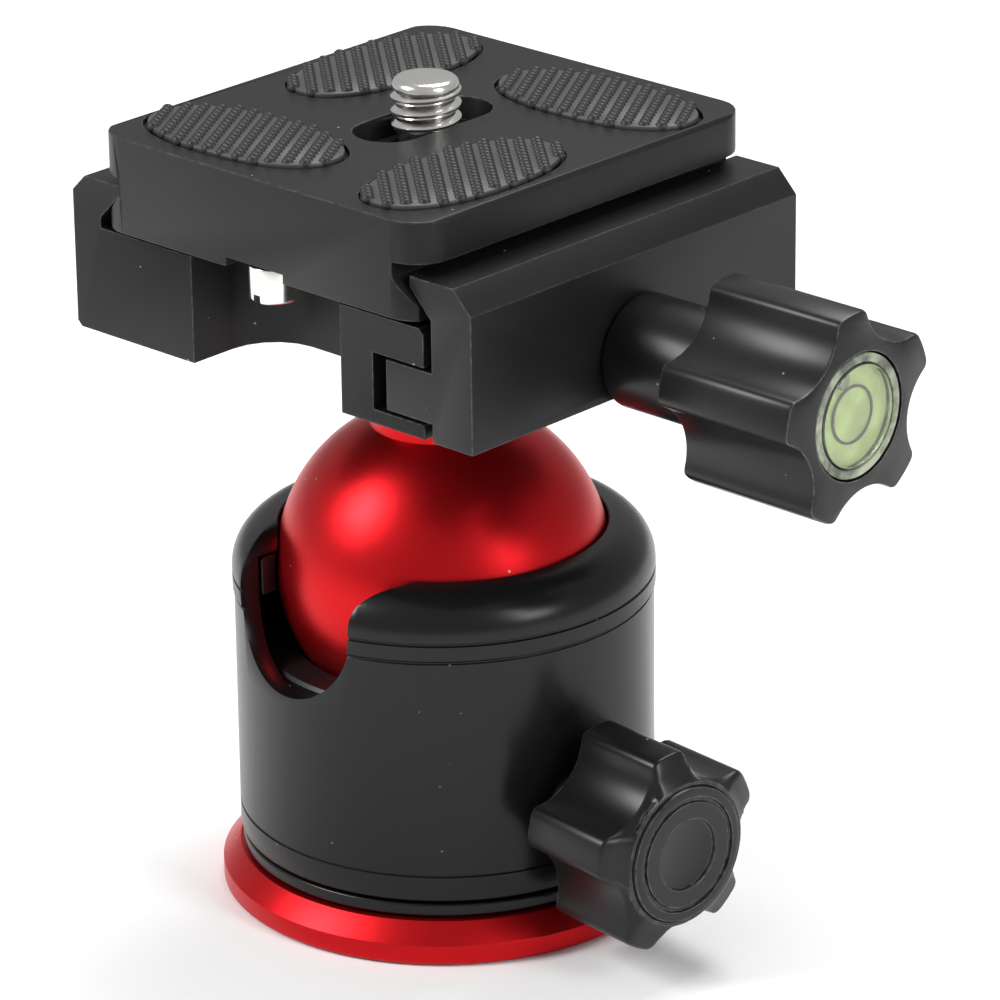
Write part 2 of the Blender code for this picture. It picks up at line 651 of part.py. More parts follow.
def make_clamp_body(material, parent):
    """The clamp's body: the fixed cheek, the floor, and the finger and lip that guide the moving jaw."""
    half = CLAMP_LENGTH / 2
    slot_low = CLAMP_SCREW_Z - SLOT_BELOW_AXIS
    slot_high = CLAMP_SCREW_Z + SLOT_ABOVE_AXIS
    nose_z = CHEEK_TOP_Z - CHEEK_NOSE_DROP
    outline = [
        (CLAMP_LEFT + SMALL_CHAMFER, CLAMP_Z), (FINGER_RIGHT, CLAMP_Z), (FINGER_RIGHT, slot_low),
        (TONGUE_SLOT_X, slot_low), (TONGUE_SLOT_X, slot_high), (FINGER_RIGHT, slot_high),
        (FINGER_RIGHT, CLAMP_TOP_Z - SMALL_CHAMFER), (FINGER_RIGHT - SMALL_CHAMFER, CLAMP_TOP_Z),
        (CHANNEL_LEFT, CLAMP_TOP_Z), (CHANNEL_LEFT, nose_z - CHEEK_NOSE), (CHANNEL_LEFT + CHEEK_NOSE, nose_z),
        (CHANNEL_LEFT + CHEEK_NOSE, CHEEK_TOP_Z), (CLAMP_LEFT + OUTER_CHAMFER, CHEEK_TOP_Z),
        (CLAMP_LEFT, CHEEK_TOP_Z - OUTER_CHAMFER), (CLAMP_LEFT, CLAMP_Z + SMALL_CHAMFER),
    ]
    body = extruded("clamp_body", outline, -half, half, material, parent, axis="Y")
    web = half - CUTOUT_DEPTH
    for name, end in (("front", -1), ("rear", 1)):
        corners = [
            (CUTOUT_LEFT, end * web, CUTOUT_FILLET), (CUTOUT_RIGHT, end * web, CUTOUT_FILLET),
            (CUTOUT_RIGHT, end * FAR, 0), (CUTOUT_LEFT, end * FAR, 0),
        ]
        low, high = CLAMP_Z - 1, CLAMP_TOP_Z + 1
        cut(body, extruded(name + "_cutout_cutter", filleted(corners), low, high, parent=parent))
    cut(body, make_neck_screw_cutter(parent))
    cut(body, make_bolt_hole_cutter(parent))
    for name, side in (("front", -1), ("rear", 1)):
        floor = CUTOUT_RIGHT + SPRING_HOLE_WALL
        cut(body, make_spring_hole_cutter(name + "_body_spring_hole_cutter", side, floor, parent))


def neck_screw_seat():
    """Height of the counterbore's floor under the neck screw's head."""
    return CLAMP_TOP_Z - NECK_SCREW_HEAD_GAP - NECK_SCREW_HEAD_HEIGHT - FIT


def make_neck_screw_cutter(parent):
    """The stepped hole for the neck screw and its head."""
    hole_r, bore_r = NECK_SCREW_R + FIT, NECK_SCREW_HEAD_R + 0.5
    low, seat, high = CLAMP_Z - 1, neck_screw_seat(), CLAMP_TOP_Z + 1
    profile = [(0, low), (hole_r, low), (hole_r, seat), (bore_r, seat), (bore_r, high), (0, high)]
    return turned("neck_screw_hole_cutter", profile, parent=parent, sides=SMALL_SIDES)


def make_bolt_hole_cutter(parent):
    """The blind hole that the clamp screw runs in."""
    low = TONGUE_SLOT_X - BOLT_BURIED - FIT
    return round_bar(CLAMP_BOLT_R + FIT + 0.05, low, FAR, name="bolt_hole_cutter", parent=parent, axis="X",
                     sides=SMALL_SIDES, place=(0, 0, CLAMP_SCREW_Z))


def make_spring_hole_cutter(name, side, low, parent, high=FAR / 4):
    """The hole that one of the two jaw springs sits in."""
    return round_bar(JAW_SPRING_R + 0.35, low, high, name=name, parent=parent, axis="X", sides=16,
                     place=(0, side * JAW_SPRING_Y, CLAMP_SCREW_Z))


def make_neck_screw(material, parent):
    """The socket-head screw that holds the clamp on the neck."""
    head = neck_screw_seat() + FIT
    low, high = NECK_TOP_Z - NECK_SCREW_GRIP, head + NECK_SCREW_HEAD_HEIGHT
    profile = [
        (0, low), (NECK_SCREW_R, low), (NECK_SCREW_R, head), (NECK_SCREW_HEAD_R, head),
        (NECK_SCREW_HEAD_R, high - 0.4), (NECK_SCREW_HEAD_R - 0.4, high), (0, high),
    ]
    screw = turned("neck_screw", profile, material, parent, sides=SMALL_SIDES)
    hexagon = arc(0, 0, HEX_KEY_R, 0, math.tau * 5 / 6, 5)
    cut(screw, extruded("hex_key_cutter", hexagon, high - HEX_KEY_DEPTH, high + 1, parent=parent))


def make_moving_jaw(material, parent):
    """The jaw that slides along X, with its tongue in the body's slot."""
    half = CLAMP_LENGTH / 2
    foot = CLAMP_Z - 0.05
    tongue_low = CLAMP_SCREW_Z - SLOT_BELOW_AXIS + FIT + 0.05
    tongue_high = CLAMP_SCREW_Z + SLOT_ABOVE_AXIS - FIT
    nose_z = CHEEK_TOP_Z - CHEEK_NOSE_DROP
    outline = [
        (JAW_FACE, foot), (JAW_RIGHT, foot), (JAW_RIGHT, CHEEK_TOP_Z - OUTER_CHAMFER - 0.5),
        (JAW_RIGHT - OUTER_CHAMFER - 0.45, CHEEK_TOP_Z), (JAW_FACE - JAW_NOSE, CHEEK_TOP_Z),
        (JAW_FACE - JAW_NOSE, nose_z), (JAW_FACE, nose_z - CHEEK_NOSE), (JAW_FACE, tongue_high),
        (TONGUE_LEFT, tongue_high), (TONGUE_LEFT, tongue_low), (JAW_FACE, tongue_low),
    ]
    jaw = extruded("moving_jaw", outline, -half, half, material, parent, axis="Y")
    hole_r = CLAMP_BOLT_R + FIT + 0.05
    cut(jaw, round_bar(hole_r, 0, FAR, name="jaw_bolt_hole_cutter", parent=parent, axis="X",
                       sides=SMALL_SIDES, place=(0, 0, CLAMP_SCREW_Z)))
    for name, side in (("front", -1), ("rear", 1)):
        cut(jaw, make_spring_hole_cutter(name + "_jaw_spring_hole_cutter", side, 0, parent, spring_end() + FIT))


def spring_end():
    """How far the jaw springs reach into the jaw."""
    return TONGUE_LEFT + 2.35


def make_jaw_spring(name, side, material, parent):
    """One of the two springs that push the jaw open."""
    low = CUTOUT_RIGHT + SPRING_HOLE_WALL + FIT
    coil(name, JAW_SPRING_R - JAW_SPRING_WIRE / 2, JAW_SPRING_WIRE / 2, spring_end() - low, JAW_SPRING_TURNS,
         material, parent, "X", (low, side * JAW_SPRING_Y, CLAMP_SCREW_Z), steps=7, wire_sides=4)


def make_sleeve(material, parent):
    """The spacer sleeve on the clamp screw, between the jaw and the knob."""
    inner = CLAMP_BOLT_R + FIT + 0.05
    profile = ring_profile(inner, inner + SLEEVE_WALL, SLEEVE_X, SLEEVE_X + SLEEVE_LENGTH)
    turned("knob_sleeve", profile, material, parent, axis="X", sides=24, place=(0, 0, CLAMP_SCREW_Z))


def make_clamp_bolt(material, parent):
    """The clamp screw, fixed in its knob."""
    low, high = TONGUE_SLOT_X - BOLT_BURIED, CLAMP_KNOB_X + BOLT_IN_KNOB
    chamfer = 0.5
    profile = [
        (0, low), (CLAMP_BOLT_R - chamfer, low), (CLAMP_BOLT_R, low + chamfer), (CLAMP_BOLT_R, high), (0, high),
    ]
    turned("clamp_bolt", profile, material, parent, axis="X", sides=SMALL_SIDES)


def make_clamp_knob(material, parent):
    """The five-lobed knob that closes the clamp, with a pocket for the bubble level."""
    low, high = CLAMP_KNOB_X, CLAMP_KNOB_X + CLAMP_KNOB_LENGTH
    knob = extruded("clamp_knob", lobed_outline(KNOB_LOBE_R), low, high, material, parent, axis="X")
    break_edges(knob, KNOB_EDGE)
    shaft_r, shaft_end = CLAMP_BOLT_R + FIT + 0.05, low + BOLT_IN_KNOB + FIT
    options = {"parent": parent, "axis": "X"}
    cut(knob, round_bar(shaft_r, low - 1, shaft_end, name="knob_bolt_cutter", sides=SMALL_SIDES, **options))
    pocket = high - LEVEL_DEPTH - FIT
    cut(knob, round_bar(LEVEL_R + FIT, pocket, high + 1, name="knob_level_cutter", sides=24, **options))


def make_level(housing_material, liquid_material, window_material, parent):
    """The round bubble level: a cup, the liquid in it and the window over it."""
    face = CLAMP_KNOB_X + CLAMP_KNOB_LENGTH
    low = face - LEVEL_DEPTH
    inner, floor = LEVEL_R - LEVEL_WALL, low + LEVEL_FLOOR
    cup = [
        (0, low), (LEVEL_R, low), (LEVEL_R, face), (inner, face), (inner, floor), (0, floor),
    ]
    turned("level_housing", cup, housing_material, parent, axis="X", sides=24)
    window = face - LEVEL_WINDOW
    options = {"parent": parent, "axis": "X", "sides": 24}
    round_bar(inner - FIT, floor + FIT, window - FIT, name="level_liquid", material=liquid_material, **options)
    round_bar(inner - FIT, window, face, name="level_window", material=window_material, **options)


# ---- camera plate ----


def make_plate(material, parent):
    """The camera plate: a flat top on a dovetail, with the camera screw's slot and pockets for the pads."""
    neck_half = DOVETAIL_HALF - DOVETAIL_FLANK
    half_width, half_length = PLATE_WIDTH / 2, PLATE_LENGTH / 2
    ceiling = PLATE_Z + GROOVE_CEILING
    right = [
        (GROOVE_HALF_WIDTH, ceiling), (GROOVE_HALF_WIDTH, PLATE_Z), (DOVETAIL_HALF, PLATE_Z),
        (DOVETAIL_HALF, PLATE_FLANK_Z), (neck_half, PLATE_NECK_Z), (neck_half, PLATE_FLANGE_Z),
        (half_width, PLATE_FLANGE_Z), (half_width, PLATE_TOP_Z - FLANGE_EDGE), (half_width - FLANGE_EDGE, PLATE_TOP_Z),
    ]
    outline = right + [(-u, v) for u, v in reversed(right)]
    plate = extruded("quick_release_plate", outline, -half_length, half_length, material, parent, axis="Y")
    corners = [
        (-half_width, -half_length, PLATE_CORNER_R), (half_width, -half_length, PLATE_CORNER_R),
        (half_width, half_length, PLATE_CORNER_R), (-half_width, half_length, PLATE_CORNER_R),
    ]
    limit = extruded("plate_corner_limit", filleted(corners, 6), PLATE_Z - 1, PLATE_TOP_Z + 1, parent=parent)
    keep_inside(plate, limit)
    for name, outline, low, high in slot_steps():
        cut(plate, extruded(name, outline, low, high, parent=parent))
    for name, place, turn in pad_places():
        pocket = pad_outline(turn, PAD_SIDE_GAP)
        floor = PLATE_TOP_Z - PAD_SUNK - FIT
        cut(plate, extruded(name + "_pocket_cutter", pocket, floor, PLATE_TOP_Z + 1, parent=parent, place=place))
    for name, y in stop_screw_places():
        top = PLATE_Z + STOP_SCREW_HEAD - stop_head_drop() + STOP_SHANK_LENGTH + FIT
        cut(plate, round_bar(STOP_SHANK_R + FIT, PLATE_Z, top, name=name + "_hole_cutter", parent=parent,
                             sides=16, place=(0, y, 0)))


def camera_slot_ceiling():
    """Height of the counterbore's ceiling over the camera screw's washer."""
    return PLATE_Z + CAMERA_SCREW_HEAD_LIFT + CAMERA_SCREW_HEAD_HEIGHT + CAMERA_WASHER_THICKNESS + 2 * FIT


def slot_steps():
    """The camera slot's three widths: for the thread, for the screw's neck, and for its head and washer."""
    wide = CAMERA_THREAD_R + CAMERA_THREAD_SIDE_GAP
    narrow = CAMERA_SCREW_NECK_R + FIT
    bore = CAMERA_SCREW_HEAD_R + 0.6
    ledge = PLATE_TOP_Z - CAMERA_SLOT_LEDGE
    ceiling = camera_slot_ceiling()
    return (
        ("thread_slot_cutter", slot_outline(wide, wide + SLOT_TRAVEL), ledge, PLATE_TOP_Z + 1),
        ("neck_slot_cutter", slot_outline(narrow, narrow + SLOT_TRAVEL), ceiling - 1, ledge + 1),
        ("head_slot_cutter", slot_outline(bore, bore + SLOT_TRAVEL), PLATE_Z - 1, ceiling),
    )


def pad_outline(turn, grow=0.0):
    """A long pad with full sides and round ends, along Y, or along X when it is turned."""
    half_width, half_length = PAD_WIDTH / 2 + grow, PAD_LENGTH / 2 + grow
    points = []
    for step in range(32):
        angle = math.tau * step / 32
        u = math.copysign(half_width * abs(math.cos(angle)) ** (2 / PAD_POWER), math.cos(angle))
        v = math.copysign(half_length * abs(math.sin(angle)) ** (2 / PAD_POWER), math.sin(angle))
        points.append((v, -u) if turn else (u, v))
    return points


def pad_places():
    """The four pads stand like the sails of a windmill about the camera slot."""
    side_x = PLATE_WIDTH / 2 - PAD_WIDTH / 2 - PAD_WIDE_MARGIN_X
    side_y = PLATE_LENGTH / 2 - PAD_WIDTH / 2 - PAD_WIDE_MARGIN_Y
    long_x = PLATE_WIDTH / 2 - PAD_LENGTH / 2 - PAD_LONG_MARGIN_X
    long_y = PLATE_LENGTH / 2 - PAD_LENGTH / 2 - PAD_LONG_MARGIN_Y
    return (
        ("left_rear_pad", (-side_x, long_y, 0), False),
        ("right_rear_pad", (long_x, side_y, 0), True),
        ("right_front_pad", (side_x, -long_y, 0), False),
        ("left_front_pad", (-long_x, -side_y, 0), True),
    )


def make_pads(material, parent):
    """The four rubber pads that the camera stands on."""
    for name, place, turn in pad_places():
        pad = extruded(name, pad_outline(turn), PLATE_TOP_Z - PAD_SUNK, PLATE_TOP_Z + PAD_RISE, material, parent,
                       place=place)
        break_edges(pad, 0.2)


def stop_screw_places():
    """The two stop screws' places along the plate."""
    reach = PLATE_LENGTH / 2 - STOP_SCREW_INSET
    return (("front_stop_screw", -reach), ("rear_stop_screw", reach))


def stop_head_drop():
    """How far a stop screw's head hangs below the plate."""
    return STOP_SCREW_HEAD - GROOVE_CEILING + FIT


def make_stop_screws(material, parent):
    """The small screws under the plate's ends that stop it from sliding out of an open clamp."""
    low = PLATE_Z - stop_head_drop()
    high = low + STOP_SCREW_HEAD
    profile = [
        (0, low), (STOP_SCREW_R - 0.35, low), (STOP_SCREW_R, low + 0.35), (STOP_SCREW_R, high),
        (STOP_SHANK_R, high), (STOP_SHANK_R, high + STOP_SHANK_LENGTH), (0, high + STOP_SHANK_LENGTH),
    ]
    for name, y in stop_screw_places():
        turned(name, profile, material, parent, sides=SMALL_SIDES, place=(0, y, 0))


def make_camera_screw(material, parent):
    """The camera screw: a slotted head, a relieved neck and the thread that stands above the plate."""
    low = PLATE_Z + CAMERA_SCREW_HEAD_LIFT
    high = low + CAMERA_SCREW_HEAD_HEIGHT
    thread = PLATE_TOP_Z - CAMERA_SLOT_LEDGE + FIT
    tip = PLATE_TOP_Z + CAMERA_THREAD_RISE
    depth = 0.6
    profile = [
        (0, low), (CAMERA_SCREW_HEAD_R - 0.4, low), (CAMERA_SCREW_HEAD_R, low + 0.4), (CAMERA_SCREW_HEAD_R, high),
        (CAMERA_SCREW_NECK_R, high), (CAMERA_SCREW_NECK_R, thread),
    ]
    for turn in range(int((tip - thread - 0.5) / CAMERA_THREAD_PITCH)):
        crest = thread + CAMERA_THREAD_PITCH * (turn + 0.5)
        profile += [(CAMERA_THREAD_R, crest - 0.15), (CAMERA_THREAD_R, crest + 0.15)]
        profile += [(CAMERA_THREAD_R - depth, crest + CAMERA_THREAD_PITCH / 2)]
    profile += [(CAMERA_THREAD_R - 0.45, tip), (0, tip)]
    screw = turned("camera_screw", profile, material, parent, sides=SMALL_SIDES)
    half = COIN_SLOT_WIDTH / 2
    outline = [(-FAR, -half), (FAR, -half), (FAR, half), (-FAR, half)]
    cut(screw, extruded("coin_slot_cutter", outline, low - 1, low + COIN_SLOT_DEPTH, parent=parent))


def make_camera_washer(material, parent):
    """The washer between the camera screw's head and the plate."""
    low = PLATE_Z + CAMERA_SCREW_HEAD_LIFT + CAMERA_SCREW_HEAD_HEIGHT + FIT
    profile = ring_profile(CAMERA_SCREW_NECK_R + FIT, CAMERA_WASHER_R, low, low + CAMERA_WASHER_THICKNESS)
    turned("camera_screw_washer", profile, material, parent, sides=36)


def build():
    """Make every piece, body by body from the base up."""
    clear_scene()
    red = paint("anodised_red", (0.55, 0.02, 0.02), 0.35, 0.9)
    black = paint("anodised_black", (0.03, 0.03, 0.033), 0.4, 0.6)
    steel = paint("steel", (0.55, 0.55, 0.56), 0.35, 1.0)
    chrome = paint("chrome", (0.8, 0.8, 0.82), 0.12, 1.0)
    brass = paint("brass", (0.75, 0.55, 0.25), 0.35, 1.0)
    rubber = paint("rubber", (0.02, 0.02, 0.02), 0.85, 0.0)
    plastic = paint("plastic", (0.04, 0.04, 0.045), 0.5, 0.0)
    liner = paint("white_nylon", (0.75, 0.73, 0.68), 0.5, 0.0)
    liquid = paint("level_liquid", (0.55, 0.8, 0.2), 0.1, 0.0)
    window = paint("clear_window", (0.85, 0.9, 0.88), 0.05, 0.0)

    make_pan_base(red)
    make_thread_insert(steel)
    make_retaining_nut(steel)
    make_glide_washer(liner)

    pan = pivot("pan_pivot", (0, 0, 0), PAN_REST)
    make_housing(black, pan)
    make_bottom_plug(black, pan)
    make_upper_seat(plastic, pan)
    make_bushing(brass, pan)
    make_cup_spring(steel, pan)
    make_pressure_ring(steel, pan)
    make_lower_cup(plastic, pan)

    lock = pivot("lock_pivot", (0, 0, LOCK_Z), PAN_REST)
    make_thrust_block(brass, lock)
    make_lock_screw(steel, lock)
    make_lock_knob(black, lock)
    make_lock_cap(black, lock)

    ball = pivot("ball_pivot", (0, 0, BALL_Z), PAN_REST)
    make_ball(red, ball)

    clamp = pivot("clamp_pivot", (0, 0, 0))
    make_clamp_body(black, clamp)
    make_neck_screw(steel, clamp)
    make_moving_jaw(black, clamp)
    make_sleeve(black, clamp)
    for name, side in (("jaw_spring_front", -1), ("jaw_spring_rear", 1)):
        make_jaw_spring(name, side, steel, clamp)

    screw = pivot("clamp_screw_pivot", (0, 0, CLAMP_SCREW_Z))
    make_clamp_bolt(steel, screw)
    make_clamp_knob(black, screw)
    make_level(plastic, liquid, window, screw)

    plate = pivot("plate_pivot", (PLATE_X, PLATE_Y, 0))
    make_plate(black, plate)
    make_pads(rubber, plate)
    make_stop_screws(chrome, plate)

    camera = pivot("camera_screw_pivot", (PLATE_X, PLATE_Y + CAMERA_SCREW_REST, 0))
    make_camera_washer(steel, camera)
    make_camera_screw(chrome, camera)


build()
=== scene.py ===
"""The looks of a small camera ball head: fine meshes and finishes around its fixed CAD frame.

Sizes are in millimetres and are turned into metres when a mesh is made.
"""

import json
import math

import bmesh
import bpy
from mathutils import Matrix, Vector


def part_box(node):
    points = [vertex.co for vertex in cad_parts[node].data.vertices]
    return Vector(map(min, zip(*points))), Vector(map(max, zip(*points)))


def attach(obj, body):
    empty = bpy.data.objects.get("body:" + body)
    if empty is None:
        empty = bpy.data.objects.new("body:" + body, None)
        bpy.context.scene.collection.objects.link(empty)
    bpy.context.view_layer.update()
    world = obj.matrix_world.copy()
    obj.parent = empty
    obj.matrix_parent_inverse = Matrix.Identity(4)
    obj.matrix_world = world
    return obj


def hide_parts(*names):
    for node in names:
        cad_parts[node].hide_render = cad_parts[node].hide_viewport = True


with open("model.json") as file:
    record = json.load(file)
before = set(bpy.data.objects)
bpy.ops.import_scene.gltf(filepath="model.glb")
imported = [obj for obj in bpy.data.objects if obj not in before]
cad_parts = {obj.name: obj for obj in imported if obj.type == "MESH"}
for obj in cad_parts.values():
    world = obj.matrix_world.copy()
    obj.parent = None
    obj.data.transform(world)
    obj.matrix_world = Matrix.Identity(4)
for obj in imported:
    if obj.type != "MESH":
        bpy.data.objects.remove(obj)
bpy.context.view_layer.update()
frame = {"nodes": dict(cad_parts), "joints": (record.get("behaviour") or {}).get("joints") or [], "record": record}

MM = 0.001
JOINTS = {joint["name"]: joint for joint in frame["joints"]}
LOCK_AXIS = Vector(JOINTS["lock_knob_turn"]["axis"])
PAN_TURN = math.atan2(LOCK_AXIS.y, LOCK_AXIS.x)
BALL_Z = JOINTS["ball_tilt"]["pos_m"][2] / MM
LOCK_Z = JOINTS["lock_knob_turn"]["pos_m"][2] / MM
SCREW_Z = JOINTS["clamp_knob_turn"]["pos_m"][2] / MM
SCREW_X = JOINTS["camera_screw_turn"]["pos_m"][0] / MM
SCREW_Y = JOINTS["camera_screw_turn"]["pos_m"][1] / MM

# Steps round a turned piece, from the largest to the smallest
ROUND = 144
KNOB_ROUND = 96
SMALL_ROUND = 72
HOLE_ROUND = 48

# Sizes that several pieces share
SEAT_R = 15.65
TRIPOD_PITCH = 1.27
KNOB_BORE_R = 3.2
LEVEL_R = 4.6
EDGE_ANGLE = 34

# The casing's drop notch, and two rings of points that keep the wall's faces short below it
NOTCH_HALF = 7.5
NOTCH_FILLET = 2.5
WALL_RINGS = (18.2, 22.4)

# The two knobs' outline
LOBES = 5
FIRST_LOBE = math.radians(24)
LOBE_R = 9.5
SCALLOP_R = 5.5
SCALLOP_CENTRE_R = 12.4

# The rubber pads
PAD_POWER = 2.3
PAD_POINTS = 96
SHEET_INSET = 0.3
BEAD_STAND = 0.42
BEAD_HALF = (0.45, 0.58, 0.50)
RIDGE_PITCH = 1.57
BEAD_PITCH = 0.85
BEAD_MARGIN = 0.22

# Camera, from the front right and above
CAMERA_PLACE = (0.33292, -0.34717, 0.23161)
CAMERA_AZIMUTH = math.radians(43.18)
CAMERA_ELEVATION = math.radians(22.06)
CAMERA_ROLL = math.radians(-0.72)
CAMERA_LENS = 204.97
SENSOR = 36.0

# The studio round the object, in metres
FLOOR_Z = -0.0002  # a hair below the foot, so that the two don't touch
WORLD_STRENGTH = 0.42


# ---- mesh helpers ----


def box_of(node):
    """A CAD node's lowest and highest corners in millimetres."""
    low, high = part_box(node)
    return low / MM, high / MM


def span_x(node):
    """Where a CAD node starts and ends along X, in millimetres."""
    low, high = box_of(node)
    return low.x, high.x


def span_along(node, axis):
    """Where a CAD node starts and ends along a level axis through the origin, in millimetres."""
    reach = [vertex.co.dot(axis) / MM for vertex in frame["nodes"][node].data.vertices]
    return min(reach), max(reach)


def reach_of(node):
    """The largest distance of a CAD node from the Z axis, in millimetres."""
    return max(math.hypot(v.co.x, v.co.y) for v in frame["nodes"][node].data.vertices) / MM


def arc(centre_u, centre_v, radius, start, end, steps):
    """Points along a circular arc, both ends included."""
    angles = [start + (end - start) * step / steps for step in range(steps + 1)]
    return [(centre_u + radius * math.cos(a), centre_v + radius * math.sin(a)) for a in angles]


def eased(corners, steps=3):
    """A closed outline from (u, v, radius) corners, with each radius above 0 turned into an arc."""
    points = []
    for index, (u, v, radius) in enumerate(corners):
        here = Vector((u, v))
        if radius <= 0:
            points.append((u, v))
            continue
        back = (Vector(corners[index - 1][:2]) - here).normalized()
        ahead = (Vector(corners[(index + 1) % len(corners)][:2]) - here).normalized()
        half = back.angle(ahead) / 2
        centre = here + (back + ahead).normalized() * radius / math.sin(half)
        arm = here + back * radius / math.tan(half) - centre
        turn = math.copysign(math.pi - 2 * half, ahead.x * back.y - ahead.y * back.x)
        start = math.atan2(arm.y, arm.x)
        points += arc(centre.x, centre.y, radius, start, start + turn, steps)
    return points


def spun(profile, steps=ROUND):
    """A closed outline of (radius, height) points spun round the Z axis."""
    bm = bmesh.new()
    verts = [bm.verts.new((radius, 0, height)) for radius, height in profile]
    for first, second in zip(verts, verts[1:] + verts[:1]):
        if max(first.co.x, second.co.x) > 0:
            bm.edges.new((first, second))
    bmesh.ops.spin(bm, geom=bm.verts[:] + bm.edges[:], cent=(0, 0, 0), axis=(0, 0, 1),
                   angle=math.tau, steps=steps, use_merge=True)
    bmesh.ops.remove_doubles(bm, verts=bm.verts, dist=1e-4)
    bmesh.ops.recalc_face_normals(bm, faces=bm.faces)
    return bm


def pushed(outline, low, high):
    """A flat outline pushed up from low to high."""
    bm = bmesh.new()
    face = bm.faces.new([bm.verts.new((u, v, low)) for u, v in outline])
    new = bmesh.ops.extrude_face_region(bm, geom=[face])["geom"]
    top = [part for part in new if isinstance(part, bmesh.types.BMVert)]
    bmesh.ops.translate(bm, vec=(0, 0, high - low), verts=top)
    bmesh.ops.recalc_face_normals(bm, faces=bm.faces)
    return bm


def stacked(sections):
    """A closed shape from (outline, height) sections with equally many points, both ends capped."""
    bm = bmesh.new()
    rings = [[bm.verts.new((u, v, height)) for u, v in outline] for outline, height in sections]
    for low, high in zip(rings, rings[1:]):
        for index, vertex in enumerate(low):
            after = (index + 1) % len(low)
            bm.faces.new((vertex, low[after], high[after], high[index]))
    bm.faces.new(rings[0])
    bm.faces.new(rings[-1])
    bmesh.ops.recalc_face_normals(bm, faces=bm.faces)
    return bm


def shrunk(outline, inset):
    """An outline about the axis drawn in by an inset, measured along each point's radius."""
    scales = [1 - inset / math.hypot(u, v) for u, v in outline]
    return [(u * scale, v * scale) for (u, v), scale in zip(outline, scales)]


def rounded_off(outline, radius):
    """An outline's points moved in to a circle where they lie beyond it."""
    scales = [min(1, radius / math.hypot(u, v)) for u, v in outline]
    return [(u * scale, v * scale) for (u, v), scale in zip(outline, scales)]


def along_x(bm):
    """Lay a shape made along Z along X."""
    bmesh.ops.transform(bm, matrix=Matrix(((0, 0, 1), (1, 0, 0), (0, 1, 0))).to_4x4(), verts=bm.verts)
    return bm


def along_y(bm):
    """Lay a shape made along Z along Y, its outline's second direction up."""
    bmesh.ops.transform(bm, matrix=Matrix(((1, 0, 0), (0, 0, 1), (0, 1, 0))).to_4x4(), verts=bm.verts)
    bmesh.ops.recalc_face_normals(bm, faces=bm.faces)
    return bm


def shifted(bm, x=0.0, y=0.0, z=0.0, turn=0.0):
    """Move a shape, after turning it about Z."""
    bmesh.ops.rotate(bm, cent=(0, 0, 0), matrix=Matrix.Rotation(turn, 3, "Z"), verts=bm.verts)
    bmesh.ops.translate(bm, vec=(x, y, z), verts=bm.verts)
    return bm


def on_lock(bm):
    """Lay a shape made along Z on the lock screw's axis."""
    return shifted(along_x(bm), z=LOCK_Z, turn=PAN_TURN)


def on_screw(bm):
    """Lay a shape made along Z on the clamp screw's axis."""
    return shifted(along_x(bm), z=SCREW_Z)


def soften(bm, width, angle=EDGE_ANGLE, segments=2, keep=None):
    """Round the edges that are sharper than the angle, all of them or those that keep accepts."""
    limit = math.radians(angle)
    edges = [e for e in bm.edges if len(e.link_faces) == 2 and e.calc_face_angle(0) > limit]
    if keep:
        edges = [e for e in edges if keep(e)]
    bmesh.ops.bevel(bm, geom=edges, offset=width, offset_type="OFFSET", segments=segments, profile=0.5,
                    affect="EDGES", clamp_overlap=True, material=-1)
    return bm


def workbench(name, bm):
    """A passing object that holds a shape while it is cut."""
    mesh = bpy.data.meshes.new(name)
    bm.to_mesh(mesh)
    bm.free()
    obj = bpy.data.objects.new(name, mesh)
    bpy.context.scene.collection.objects.link(obj)
    return obj


def carved(target, *cutters):
    """The target with the shapes of the cutters taken away."""
    blank = workbench("blank", target)
    tools = [workbench("tool", cutter) for cutter in cutters]
    for tool in tools:
        cut = blank.modifiers.new("cut", "BOOLEAN")
        cut.operation = "DIFFERENCE"
        cut.solver = "EXACT"
        cut.object = tool
    bpy.context.view_layer.update()
    result = bmesh.new()
    result.from_object(blank, bpy.context.evaluated_depsgraph_get())
    for obj in [blank, *tools]:
        mesh = obj.data
        bpy.data.objects.remove(obj)
        bpy.data.meshes.remove(mesh)
    bmesh.ops.remove_doubles(result, verts=result.verts, dist=0.01)
    return result


def cad_copy(node):
    """A CAD node's shape in millimetres with its flat faces made whole, ready to be finished."""
    bm = bmesh.new()
    bm.from_mesh(frame["nodes"][node].data)
    bmesh.ops.scale(bm, vec=(1 / MM,) * 3, verts=bm.verts)
    bmesh.ops.remove_doubles(bm, verts=bm.verts, dist=0.001)
    bmesh.ops.dissolve_limit(bm, angle_limit=math.radians(0.6), use_dissolve_boundaries=False,
                             verts=bm.verts, edges=bm.edges, delimit=set())
    return bm


def piece(bm, name, body, material, nodes=(), sharp=32):
    """Make the shape a piece of the object that rides on a body and stands for its CAD nodes."""
    bmesh.ops.scale(bm, vec=(MM,) * 3, verts=bm.verts)
    mesh = bpy.data.meshes.new(name)
    bm.to_mesh(mesh)
    bm.free()
    mesh.shade_smooth()
    mesh.set_sharp_from_angle(angle=math.radians(sharp))
    mesh.materials.append(material)
    obj = bpy.data.objects.new(name, mesh)
    bpy.context.scene.collection.objects.link(obj)
    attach(obj, body)
    if nodes:
        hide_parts(*nodes)


# ---- finishes ----


